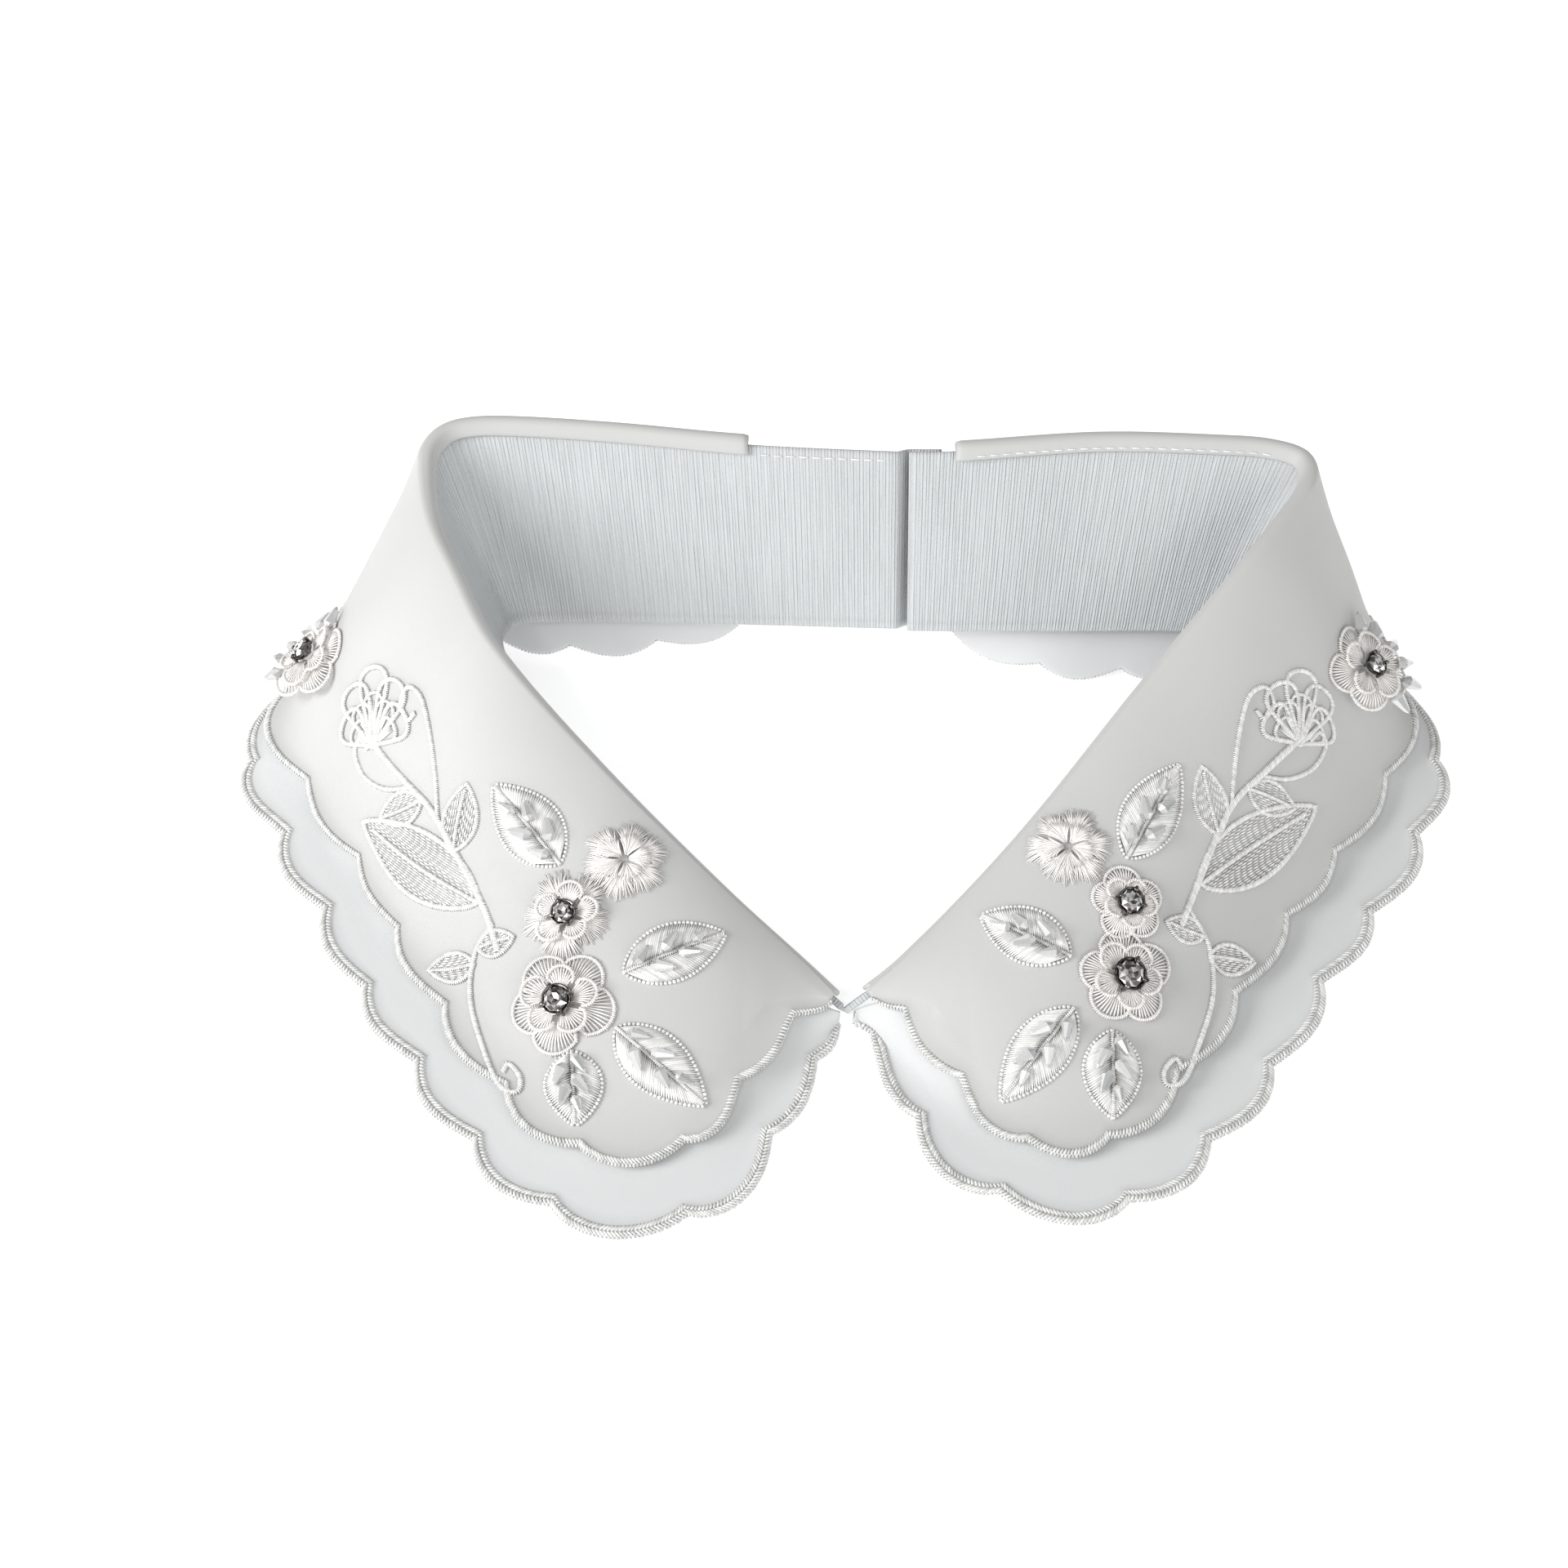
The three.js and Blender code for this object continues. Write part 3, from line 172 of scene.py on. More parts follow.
# One row for each notch of the upper layer: its station at the fold, and its station and
# share of the fall at the edge
LEFT_UPPER = chart(
    "fold station fall",
    (0.66, 0.72, 0.1), (1.1, 1.66, 0.38), (1.9, 2.61, 0.59), (2.75, 3.14, 0.756),
    (3.75, 3.95, 0.823), (4.95, 4.97, 0.819), (6.11, 6.11, 0.807), (7.15, 7.15, 0.767),
    (8.15, 8.15, 0.748), (9.32, 9.32, 0.785), (10.7, 10.7, 0.85), (12, 12, 0.84),
    (13.1, 13.1, 0.85), (14.1, 14.1, 0.86), (15.1, 15.1, 0.86), (16, 16, 0.86), (17, 16.85, 0.86),
)
RIGHT_UPPER = chart(
    "fold station fall",
    (1.1, 1.15, 0.1), (1.4, 1.83, 0.33), (2.1, 2.72, 0.597), (2.95, 3.34, 0.79),
    (3.85, 4.03, 0.813), (5.0, 5.04, 0.783), (6.13, 6.13, 0.76), (7.2, 7.2, 0.757),
    (8.21, 8.21, 0.751), (9.33, 9.33, 0.766), (10.7, 10.7, 0.82), (12, 12, 0.84),
    (13.1, 13.1, 0.86), (14.1, 14.1, 0.87), (15, 15, 0.87), (16, 16, 0.87), (17, 16.85, 0.86),
)

# Flowers: place of the middle, width across the petals, width of the stone
LEFT_FLOWERS = {
    "shoulder": (10.37, 0.578, 17, 5),
    "small": (4.81, 0.134, 13.4, 0),
    "upper": (5.2, 0.35, 16.4, 5),
    "large": (4.74, 0.532, 19, 6),
}
RIGHT_FLOWERS = {
    "shoulder": (9.95, 0.483, 17, 5),
    "small": (4.96, 0.12, 13.4, 0),
    "upper": (5.35, 0.345, 13.8, 5.4),
    "large": (4.89, 0.482, 17.2, 6.4),
}

# Leaves: place of the stalk end, place of the tip, width across
LEFT_LEAVES = {
    "rising": ((5.68, 0.265), (6.99, 0.24), 12),
    "inner": ((4.11, 0.367), (2.95, 0.11), 11.5),
    "slanting": ((3.98, 0.5), (2.98, 0.648), 11.5),
    "hanging": ((4.36, 0.61), (4.05, 0.778), 11),
}
RIGHT_LEAVES = {
    "rising": ((5.68, 0.26), (6.99, 0.205), 11),
    "inner": ((4.27, 0.34), (3.2, 0.08), 11),
    "slanting": ((4.09, 0.46), (3.16, 0.661), 11),
    "hanging": ((4.45, 0.565), (4.13, 0.768), 11),
}

LEFT = dict(
    name="left", side=-1, fold=LEFT_FOLD, foot=LEFT_FOOT, stations=LEFT_STATIONS,
    upper=LEFT_UPPER, flowers=LEFT_FLOWERS, leaves=LEFT_LEAVES,
    bloom=((8.75, 0.48), (9.35, 0.36), 15), blade=((6.4, 0.51), (8.35, 0.66), 13),
    stem=((5.85, 0.56), (6.4, 0.5), (7.4, 0.44), (8.1, 0.45), (8.85, 0.475)),
)
RIGHT = dict(
    name="right", side=1, fold=RIGHT_FOLD, foot=RIGHT_FOOT, stations=RIGHT_STATIONS,
    upper=RIGHT_UPPER, flowers=RIGHT_FLOWERS, leaves=RIGHT_LEAVES,
    bloom=((8.55, 0.44), (9.1, 0.32), 15), blade=((6.4, 0.47), (8.3, 0.6), 13),
    stem=((5.9, 0.5), (6.4, 0.46), (7.3, 0.4), (8.0, 0.41), (8.65, 0.43)),
)
WINGS = (LEFT, RIGHT)
SIDES = (-1, 1)


def follow(rows, place, column, at):
    """Smooth line through one column of a table, sloped by the neighbouring rows."""
    x, y = rows[place], rows[column]
    at = np.asarray(at, float)
    count = len(x)
    before = np.maximum(np.arange(count) - 1, 0)
    after = np.minimum(np.arange(count) + 1, count - 1)
    slope = (y[after] - y[before]) / (x[after] - x[before])
    i = np.clip(np.searchsorted(x[1:], at), 0, count - 2)
    span = x[i + 1] - x[i]
    t = (at - x[i]) / span
    t2, t3 = t * t, t * t * t
    return (
        (2 * t3 - 3 * t2 + 1) * y[i] + (t3 - 2 * t2 + t) * span * slope[i]
        + (3 * t2 - 2 * t3) * y[i + 1] + (t3 - t2) * span * slope[i + 1]
    )


def unit(vectors):
    return vectors / np.linalg.norm(vectors, axis=-1, keepdims=True)


def dot(first, second):
    return (first * second).sum(-1)


def run_of(points):
    """Length of a line up to each of its points."""
    return np.concatenate([[0], np.cumsum(np.linalg.norm(np.diff(points, axis=0), axis=1))])


def read_line(points, run, at):
    """Points of a line at given lengths along it."""
    return np.stack([np.interp(at, run, column) for column in points.T], -1)


def even_steps(run, pitch):
    return np.linspace(0, run[-1], max(int(run[-1] / pitch), 3))


def line_point(wing, rows, along):
    return np.stack([
        wing["side"] * follow(rows, "along", "across", along) * NECK_HALF_WIDTH,
        follow(rows, "along", "back", along) * NECK_DEPTH,
        follow(rows, "along", "up", along) * FOLD_HEIGHT,
    ], axis=-1)


def along_at(wing, station):
    return follow(wing["stations"], "index", "along", station)


def fall_point(wing, station, fall):
    """Point of the fall: station counts the notches, fall goes from 0 at the fold to 1."""
    station, fall = np.broadcast_arrays(np.asarray(station, float), np.asarray(fall, float))
    rows = wing["stations"]
    fold = line_point(wing, wing["fold"], along_at(wing, station))
    heading = np.radians(follow(rows, "index", "heading", station))
    run = follow(rows, "index", "run", station) * FALL_WIDTH
    flat = np.clip(follow(rows, "index", "flat", station), 0, 1)
    hem = CLOTH / 2 - UNDER_LEVEL + (1 - flat) * STANDING_RISE
    drop = fold[..., 2] - hem
    turn = 1 - np.minimum(FLAT_HEM / np.hypot(run, drop), HEM_SHARE)
    left = 1 - fall / turn
    rounded = np.where(left > -HEM_BLEND, (left + HEM_BLEND) ** 2 / (4 * HEM_BLEND), 0)
    eased = np.where(left >= HEM_BLEND, left, rounded)
    height = flat * eased + (1 - flat) * (1 - fall)
    share = np.minimum(fall / (1 + (turn - 1) * flat), 1)
    fullness = BELLY + (STANDING_BELLY - BELLY) * (1 - flat) ** STANDING_EASE
    belly = fullness * BELLY_CREST * share * (1 - share) ** 2
    reach = run * fall + belly * drop
    return np.stack([
        fold[..., 0] + wing["side"] * np.cos(heading) * reach,
        fold[..., 1] - np.sin(heading) * reach,
        hem + drop * height + belly * run,
    ], axis=-1)


def slopes(wing, station, fall):
    """Slopes along and down the fall, and the outward normal."""

    def between(ahead, behind):
        return (fall_point(wing, *ahead) - fall_point(wing, *behind)) / (2 * STEP)

    along = between((station + STEP, fall), (station - STEP, fall))
    down = between((station, fall + STEP), (station, fall - STEP))
    return along, down, -wing["side"] * unit(np.cross(along, down))


def upper_level(fall):
    return FOLD_RADIUS + UPPER_LIFT * fall * fall


def under_level(fall):
    return UNDER_LEVEL + 0 * fall


def locate(wing, target, station, fall):
    """Station and share of the fall that lie closest to each target."""
    s = np.zeros(target.shape[:-1]) + station
    f = np.zeros(target.shape[:-1]) + fall
    for _ in range(LOCATE_ROUNDS):
        along, down, _normal = slopes(wing, s, f)
        miss = target - fall_point(wing, s, f)
        aa, dd = dot(along, along) + LOCATE_DAMPING, dot(down, down) + LOCATE_DAMPING
        ad, ma, md = dot(along, down), dot(miss, along), dot(miss, down)
        det = aa * dd - ad * ad
        s = s + np.clip((ma * dd - md * ad) / det, -STATION_LIMIT, STATION_LIMIT)
        f = f + np.clip((md * aa - ma * ad) / det, -FALL_LIMIT, FALL_LIMIT)
    return s, f


def edge_columns(wing, notches, at):
    """The scalloped edge at places counted in scallops, with the way that it bulges."""
    last = len(notches["index"]) - 1
    at = np.asarray(at, float)

    def read(column, where):
        return follow(notches, "index", column, where)

    def place(where):
        where = np.clip(where, 0, last)
        return fall_point(wing, read("station", where), read("fall", where))

    scallop = np.clip(np.floor(at), 0, last - 1)
    share = np.clip(at - scallop, 0, 1)
    chord = np.linalg.norm(place(scallop + 1) - place(scallop), axis=-1)
    arch = np.abs(np.sin(np.pi * share ** SCALLOP_WARP)) ** SCALLOP_ROUND
    fold, station, fall = (read(column, at) for column in ("fold", "station", "fall"))
    tangent = unit(place(at + STEP) - place(at - STEP))
    _along, _down, normal = slopes(wing, station, fall)
    return dict(
        fold=fold, station=station, fall=fall, base=place(at), start=fall_point(wing, fold, 0),
        out=unit(np.cross(tangent, normal)) * wing["side"], bulge=SCALLOP_BULGE * chord * arch,
    )


def edge_room(columns):
    """Share of the wanted insets that a short fall has room for, and the fall's reach."""
    reach = np.linalg.norm(columns["base"] - columns["start"], axis=-1)
    return np.minimum(1, ROOM_SHARE * reach / EDGE_INSETS[0]), reach


def edge_place(wing, columns, inset):
    """Station and fall of the line that runs inset millimetres inside the scalloped edge."""
    room, _reach = edge_room(columns)
    inset = np.zeros(len(room)) + inset
    follows = np.interp(inset, (BULGE_DEPTH, EDGE_INSETS[0]), (1.0, DEEP_BULGE))
    shift = columns["bulge"] * follows - inset * room
    target = columns["base"] + columns["out"] * shift[..., None]
    return locate(wing, target, columns["station"], columns["fall"])


def on_level(wing, station, fall, level):
    """Points at a level over the fall, and the normals there."""
    _along, _down, normal = slopes(wing, station, fall)
    return fall_point(wing, station, fall) + normal * level(fall)[..., None], normal


# Making meshes

# Share of a sheet's thickness at its two ends, in the row before the last, and at its sides
END_THIN = 0.35
NEXT_THIN = 0.85
SIDE_THIN = 0.5
# Rings of a bead: height and width as shares of its radius
BEAD_RINGS = ((-0.92, 0.4), (-0.5, 0.86), (0.25, 0.97), (0.8, 0.6), (1.0, 0.18))
BEAD_SIDES = 7
BEAD_SQUASH = 0.8


def row_frame(points):
    return np.asarray(points) * MM + FRONT_POINT


def link_piece(name, mesh):
    piece = bpy.data.objects.new(name, mesh)
    bpy.context.scene.collection.objects.link(piece)
    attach(piece, "root")
    return piece


def make_piece(name, points, faces, finish, uv=None, tone=None, smooth=True):
    """A piece from points in millimetres, with its flat places or the tones of its points."""
    mesh = bpy.data.meshes.new(name)
    mesh.from_pydata(row_frame(points).tolist(), [], faces)
    mesh.update()
    if smooth:
        mesh.polygons.foreach_set("use_smooth", np.ones(len(mesh.polygons), bool))
    if uv is not None:
        corner = np.zeros(len(mesh.loops), np.int32)
        mesh.loops.foreach_get("vertex_index", corner)
        layer = mesh.uv_layers.new(name="cut")
        layer.data.foreach_set("uv", np.asarray(uv, np.float32)[corner].ravel())
    if tone is not None:
        layer = mesh.attributes.new("tone", "FLOAT", "POINT")
        layer.data.foreach_set("value", np.asarray(tone, np.float32))
    mesh.materials.append(finish)
    return link_piece(name, mesh)


def grid_faces(rows, columns):
    r, c = np.meshgrid(np.arange(rows - 1), np.arange(columns - 1), indexing="ij")
    a = (r * columns + c).ravel()
    return np.stack([a, a + columns, a + columns + 1, a + 1], axis=1)


def closed_sheet(middle, normal, thick, ridge=0.0):
    """Points, faces and flat places of a cloth sheet from the grid of its middle."""
    rows, columns = middle.shape[:2]
    count = rows * columns
    half = np.full((rows, columns), thick / 2)
    half[0], half[-1] = half[0] * END_THIN, half[-1] * END_THIN
    half[-2] = half[-2] * NEXT_THIN
    half[:, 0], half[:, -1] = half[:, 0] * SIDE_THIN, half[:, -1] * SIDE_THIN
    top = middle + normal * (half + ridge)[..., None]
    bottom = middle - normal * half[..., None]
    faces = grid_faces(rows, columns)
    down, across = np.arange(rows) * columns, np.arange(columns)
    loop = np.concatenate([
        down, (rows - 1) * columns + across[1:], down[::-1][1:] + columns - 1, across[::-1][1:-1],
    ])
    ahead = np.roll(loop, -1)
    rim = np.stack([ahead, loop, loop + count, ahead + count], axis=1)
    corner = top.reshape(-1, 3)[faces]
    faces = np.concatenate([faces, faces[:, ::-1] + count, rim])
    way = np.cross(corner[:, 2] - corner[:, 0], corner[:, 3] - corner[:, 1])
    if (way * normal[:-1, :-1].reshape(-1, 3)).sum() < 0:
        faces = faces[:, ::-1]
    across_run, down_run = (np.linalg.norm(np.diff(middle, axis=i), axis=-1) for i in (1, 0))
    u = np.concatenate([[0], np.cumsum(across_run.mean(axis=0))])
    v = np.concatenate([np.zeros((1, columns)), np.cumsum(down_run, axis=0)])
    uv = np.stack([np.broadcast_to(u, (rows, columns)), v], axis=-1).reshape(-1, 2) * MM
    points = np.concatenate([top.reshape(-1, 3), bottom.reshape(-1, 3)])
    return points, faces.tolist(), np.concatenate([uv, uv])


class Threads:
    """Gathers many small strands, beads and cords into one mesh."""

    def __init__(self, seed):
        self.points, self.faces, self.tones = [], [], []
        self.count = 0
        self.random = np.random.default_rng(seed)

    def tubes(self, ring):
        """Closed tubes from their rings: an array of (tubes, rings, sides, 3)."""
        n, k, sides = ring.shape[:3]
        base = self.count + np.arange(n)[:, None, None] * k * sides
        step, turn = np.arange(k - 1)[:, None] * sides, np.arange(sides)
        a, b = base + step + turn, base + step + (turn + 1) % sides
        quads = np.stack([a, b, b + sides, a + sides], axis=-1).reshape(-1, 4)
        first, last = base[:, 0] + turn[::-1], base[:, 0] + (k - 1) * sides + turn
        self.points.append(ring.reshape(-1, 3))
        self.faces += quads.tolist() + first.tolist() + last.tolist()
        self.tones.append(np.repeat(self.random.random(n), k * sides))
        self.count += n * k * sides

    def strands(self, paths, ups, width, height, taper=0.45, sides=5):
        """One tapered strand along each path: paths and ups are (strands, points, 3)."""
        tangent = unit(np.gradient(paths, axis=1))
        across = unit(np.cross(ups, tangent))
        lift = np.cross(tangent, across)
        swell = np.ones(paths.shape[1])
        swell[0] = swell[-1] = taper
        angle = 2 * np.pi * (np.arange(sides) + 0.5) / sides
        wide, high = (
            (np.zeros((len(paths), 1)) + np.reshape(size, (-1, 1))) / 2 * swell
            for size in (width, height)
        )
        self.tubes(
            paths[:, :, None]
            + across[:, :, None] * (wide[..., None] * np.cos(angle))[..., None]
            + lift[:, :, None] * (high[..., None] * np.sin(angle))[..., None]
        )

    def beads(self, centres, ups, radius):
        """Small round beads, standing on the cloth."""
        helper = np.where(np.abs(ups[:, :1]) < 0.8, [[1.0, 0, 0]], [[0, 1.0, 0]])
        across = unit(np.cross(ups, helper))
        side = np.cross(ups, across)
        rise, swell = (np.array(part) for part in zip(*BEAD_RINGS))
        angle = 2 * np.pi * np.arange(BEAD_SIDES) / BEAD_SIDES
        middle = centres[:, None] + ups[:, None] * (radius * BEAD_SQUASH * rise)[:, None]
        round_way = (
            across[:, None, None] * np.cos(angle)[:, None]
            + side[:, None, None] * np.sin(angle)[:, None]
        )
        self.tubes(middle[:, :, None] + round_way * (radius * swell)[:, None, None])

    def make(self, name, finish):
        points, tone = np.concatenate(self.points), np.concatenate(self.tones)
        return make_piece(name, points, self.faces, finish, tone=tone)


# Finishes

WHITE = (1, 1, 1, 1)
# Threads and ribs of the woven cloth in a metre, and scale of the filaments of a thread
WEAVE_PITCH = 2400
RIB_PITCH = 1500
FIBRE_SCALE = 9000


def new_finish(name, constants):
    """A material and its shader, with the constant inputs set."""
    finish = bpy.data.materials.new(name)
    finish.use_nodes = True
    shader = finish.node_tree.nodes["Principled BSDF"]
    for label, value in constants.items():
        shader.inputs[label].default_value = value
    return finish, shader


def start_group(name, inputs, outputs):
    """A node group with its inputs, their values, and its outputs."""
    group = bpy.data.node_groups.new(name, "ShaderNodeTree")
    for label, value in inputs.items():
        kind = "NodeSocketFloat" if isinstance(value, float) else "NodeSocketColor"
        socket = group.interface.new_socket(name=label, in_out="INPUT", socket_type=kind)
        socket.default_value = value
    for label in outputs:
        kind = "NodeSocketColor" if label == "Color" else "NodeSocketFloat"
        group.interface.new_socket(name=label, in_out="OUTPUT", socket_type=kind)
    return group, group.nodes.new("NodeGroupInput"), group.nodes.new("NodeGroupOutput")


def object_noise(nodes, links, scale, detail):
    """Noise fixed to the object."""
    place = nodes.new("ShaderNodeTexCoord")
    noise = nodes.new("ShaderNodeTexNoise")
    noise.inputs["Scale"].default_value = scale
    noise.inputs["Detail"].default_value = detail
    links.new(place.outputs["Object"], noise.inputs["Vector"])
    return noise.outputs["Fac"]


def grouped_finish(name, group, values, relief, constants):
    """A finish fed by a node group; relief is the strength and distance of its bump."""
    finish, shader = new_finish(name, constants)
    nodes, links = finish.node_tree.nodes, finish.node_tree.links
    source = nodes.new("ShaderNodeGroup")
    source.node_tree = group
    for label, value in values.items():
        source.inputs[label].default_value = value
    bump = nodes.new("ShaderNodeBump")
    bump.inputs["Strength"].default_value, bump.inputs["Distance"].default_value = relief
    links.new(source.outputs["Height"], bump.inputs["Height"])
    links.new(bump.outputs["Normal"], shader.inputs["Normal"])
    links.new(source.outputs["Color"], shader.inputs["Base Color"])
    if "Roughness" in source.outputs:
        links.new(source.outputs["Roughness"], shader.inputs["Roughness"])
    return finish


def ramp_finish(name, source, stops, constants, interpolation="LINEAR"):
    """A finish coloured by a ramp over the piece's tones, the painted reflections of its facets, or
    over stains.
    """
    finish, shader = new_finish(name, constants)
    nodes, links = finish.node_tree.nodes, finish.node_tree.links
    if source == "tone":
        tone = nodes.new("ShaderNodeAttribute")
        tone.attribute_name = "tone"
        factor = tone.outputs["Fac"]
    else:
        factor = object_noise(nodes, links, 900, 2)
    ramp = nodes.new("ShaderNodeValToRGB")
    ramp.color_ramp.interpolation = interpolation
    elements = ramp.color_ramp.elements
    for i, (position, colour) in ((0, stops[0]), (1, stops[-1])):
        elements[i].position, elements[i].color = position, colour
    for position, colour in stops[1:-1]:
        elements.new(position).color = colour
    links.new(factor, ramp.inputs["Fac"])
    links.new(ramp.outputs["Color"], shader.inputs["Base Color"])
    return finish


def weave_group():
    """Woven cloth: threads both ways, uneven lustre, soft blotches of lighter and darker colour,
    and painted shade that darkens the grooves between threads and ribs.
    """
    group, inside, outside = start_group(
        "woven cloth", {"Ribs": 0.0, "Shade": 0.1, "Tint": WHITE}, ("Color", "Roughness", "Height"),
    )
    nodes, links = group.nodes, group.links
    uv = nodes.new("ShaderNodeUVMap")
    uv.uv_map = "cut"
    split = nodes.new("ShaderNodeSeparateXYZ")
    links.new(uv.outputs["UV"], split.inputs[0])
    across, along = split.outputs[0], split.outputs[1]

    def maths(operation, *values):
        node = nodes.new("ShaderNodeMath")
        node.operation = operation
        for socket, value in zip(node.inputs, values):
            if isinstance(value, (int, float)):
                socket.default_value = value
            else:
                links.new(value, socket)
        return node.outputs[0]

    def scaled(value, factor):
        return maths("MULTIPLY", value, factor)

    def centred(value):
        return maths("SUBTRACT", value, 0.5)

    def wave(place, pitch, shift):
        return maths("SINE", maths("ADD", scaled(place, pitch * 2 * math.pi), shift))

    def noise(scale, detail, stretch=(1, 1, 1)):
        mapping = nodes.new("ShaderNodeMapping")
        mapping.inputs["Scale"].default_value = stretch
        links.new(uv.outputs["UV"], mapping.inputs["Vector"])
        node = nodes.new("ShaderNodeTexNoise")
        node.inputs["Scale"].default_value = scale
        node.inputs["Detail"].default_value = detail
        links.new(mapping.outputs[0], node.inputs["Vector"])
        return node.outputs["Fac"]

    slub = scaled(centred(noise(500, 2)), 2.5)
    crossing = maths("ADD", wave(across, WEAVE_PITCH, slub), wave(along, WEAVE_PITCH, slub))
    rib = wave(across, RIB_PITCH, scaled(noise(160, 3, (1, 0.12, 1)), 6))
    streak = scaled(centred(noise(1500, 2, (1, 0.05, 1))), 2)
    ribs = scaled(maths("ADD", scaled(rib, 0.5), streak), inside.outputs["Ribs"])
    height = maths("ADD", scaled(crossing, 0.25), ribs)
    # Colour mottle: random blotches, plus painted shade that darkens the low parts of the weave and
    # the ribs
    mottle_and_groove_shade = maths("ADD", scaled(centred(noise(45, 3)), 0.5), scaled(height, 0.35))
    shade = scaled(inside.outputs["Shade"], maths("SUBTRACT", 0.5, mottle_and_groove_shade))
    tinted = nodes.new("ShaderNodeVectorMath")
    tinted.operation = "SCALE"
    links.new(inside.outputs["Tint"], tinted.inputs[0])
    links.new(maths("SUBTRACT", 1, shade), tinted.inputs["Scale"])
    links.new(tinted.outputs[0], outside.inputs["Color"])
    links.new(maths("ADD", 0.5, scaled(noise(220, 2), 0.2)), outside.inputs["Roughness"])
    links.new(height, outside.inputs["Height"])
    return group


WEAVE = weave_group()


def cloth_finish(name, tint, ribs, shade, relief):
    return grouped_finish(
        name, WEAVE, {"Ribs": ribs, "Shade": shade, "Tint": (*tint, 1)}, (relief, 0.0001),
        {"Sheen Weight": 0.15, "Specular IOR Level": 0.35},
    )


def thread_group():
    """Twisted thread: a tone for each strand, and fine filaments."""
    group, inside, outside = start_group(
        "twisted thread", {"Dark": WHITE, "Light": WHITE}, ("Color", "Height"),
    )
    nodes, links = group.nodes, group.links
    tone = nodes.new("ShaderNodeAttribute")
    tone.attribute_name = "tone"
    blend = nodes.new("ShaderNodeMix")
    blend.data_type = "RGBA"
    links.new(tone.outputs["Fac"], blend.inputs["Factor"])
    links.new(inside.outputs["Dark"], blend.inputs[6])
    links.new(inside.outputs["Light"], blend.inputs[7])
    links.new(blend.outputs[2], outside.inputs["Color"])
    links.new(object_noise(nodes, links, FIBRE_SCALE, 3), outside.inputs["Height"])
    return group


THREAD = thread_group()


def thread_finish(name, dark, light, rough):
    return grouped_finish(
        name, THREAD, {"Dark": (*dark, 1), "Light": (*light, 1)}, (0.5, 0.00008),
        {"Roughness": rough, "Sheen Weight": 0.2, "Specular IOR Level": 0.7},
    )


def crystal_finish():
    """Clear glass whose facets differ a little: each facet gets a random painted reflection, grey
    to white, in its base colour.
    """
    return ramp_finish(
        "crystal glass painted reflections", "tone", ((0, (0.48, 0.49, 0.49, 1)), (1, (1.0, 1.0, 0.99, 1))),
        {"Roughness": 0.03, "Transmission Weight": 0.3, "Coat Weight": 1.0, "IOR": 1.54},
    )


def stone_finish():
    """Foil-backed cut stone: every facet gets its own painted reflection, a flat colour from near
    black to white picked at random.
    """
    steps = [
        (position, (level, level * 0.95, level * 0.93, 1))
        for position, level in ((0.22, 0.14), (0.36, 0.38), (0.52, 0.68))
    ]
    return ramp_finish(
        "cut stone", "tone", ((0, (0.05, 0.045, 0.042, 1)), *steps, (0.66, (0.9, 0.9, 0.9, 1))),
        {"Metallic": 0.85, "Roughness": 0.06, "Coat Weight": 1.0, "Coat Roughness": 0.02},
        "CONSTANT",
    )


def silver_finish():
    """Dark silver with stains."""
    return ramp_finish(
        "dark silver", "stain", ((0.35, (0.05, 0.045, 0.042, 1)), (0.7, (0.32, 0.3, 0.29, 1))),
        {"Metallic": 1.0, "Roughness": 0.25},
    )


# After the tint: rib height, strength of the random mottle and of the painted shade in the grooves,
# and strength of the bump
FINE_CLOTH = cloth_finish("fine white cloth", (0.555, 0.555, 0.545), 0.0, 0.06, 0.12)
UNDER_CLOTH = cloth_finish("under layer cloth", (0.67, 0.675, 0.68), 0.0, 0.06, 0.12)
BAND_FINISH = cloth_finish("ribbed band cloth", (0.62, 0.64, 0.65), 1.3, 0.18, 0.9)
BORDER_THREAD = thread_finish("border thread", (0.56, 0.56, 0.55), (0.8, 0.8, 0.79), 0.3)
MOTIF_THREAD = thread_finish("motif thread", (0.66, 0.655, 0.64), (0.9, 0.895, 0.88), 0.28)
PETAL_THREAD = thread_finish("petal thread", (0.78, 0.755, 0.73), (0.97, 0.945, 0.92), 0.28)
SEWING_THREAD = thread_finish("sewing thread", (0.72, 0.72, 0.72), (0.84, 0.84, 0.84), 0.5)
CRYSTAL = crystal_finish()
STONE = stone_finish()
SILVER = silver_finish()


# Cloth of the wings

SCALLOP_STEPS = 14
ROLL_STEPS = 13
CREASE_LIFT = 0.12
CREASE_WIDE = 0.16
CREASE_NARROW = 0.1
# A stitch of the border: share of its way across, and share of its rise
STITCH_ARCH = ((0, 0.1), (0.3, 0.85), (0.7, 0.85), (1, 0.1))
STITCH_HEIGHT = 0.46
# Borders: pitch, bands of stitches (outer and inner inset, slant, rise), width of a stitch,
# and width and drop of the stitches that wrap the edge
UNDER_STITCHES = (
    0.78, ((0.0, 1.25, 0.045, 0.4), (1.15, UNDER_BORDER + 0.2, -0.045, 0.35)), 0.62, (0.62, 0.25),
)
UPPER_STITCHES = (0.7, ((0.0, UPPER_BORDER, 0.05, 0.5),), 0.6, (0.56, 0.1))


def scallop_places(notches):
    last = len(notches["index"]) - 1
    return np.linspace(0, last, last * SCALLOP_STEPS + 1)


def creases(wing, station, fall):
    """Soft uneven rises of the upper cloth, in millimetres."""
    wide = np.sin(1.7 * station + 5.5 * fall) * np.sin(7 * fall + 0.8 * station)
    narrow = np.sin(3.1 * station - 9 * fall + wing["side"])
    return CREASE_LIFT + (CREASE_WIDE * wide + CREASE_NARROW * narrow) * np.clip(fall * 4, 0, 1)


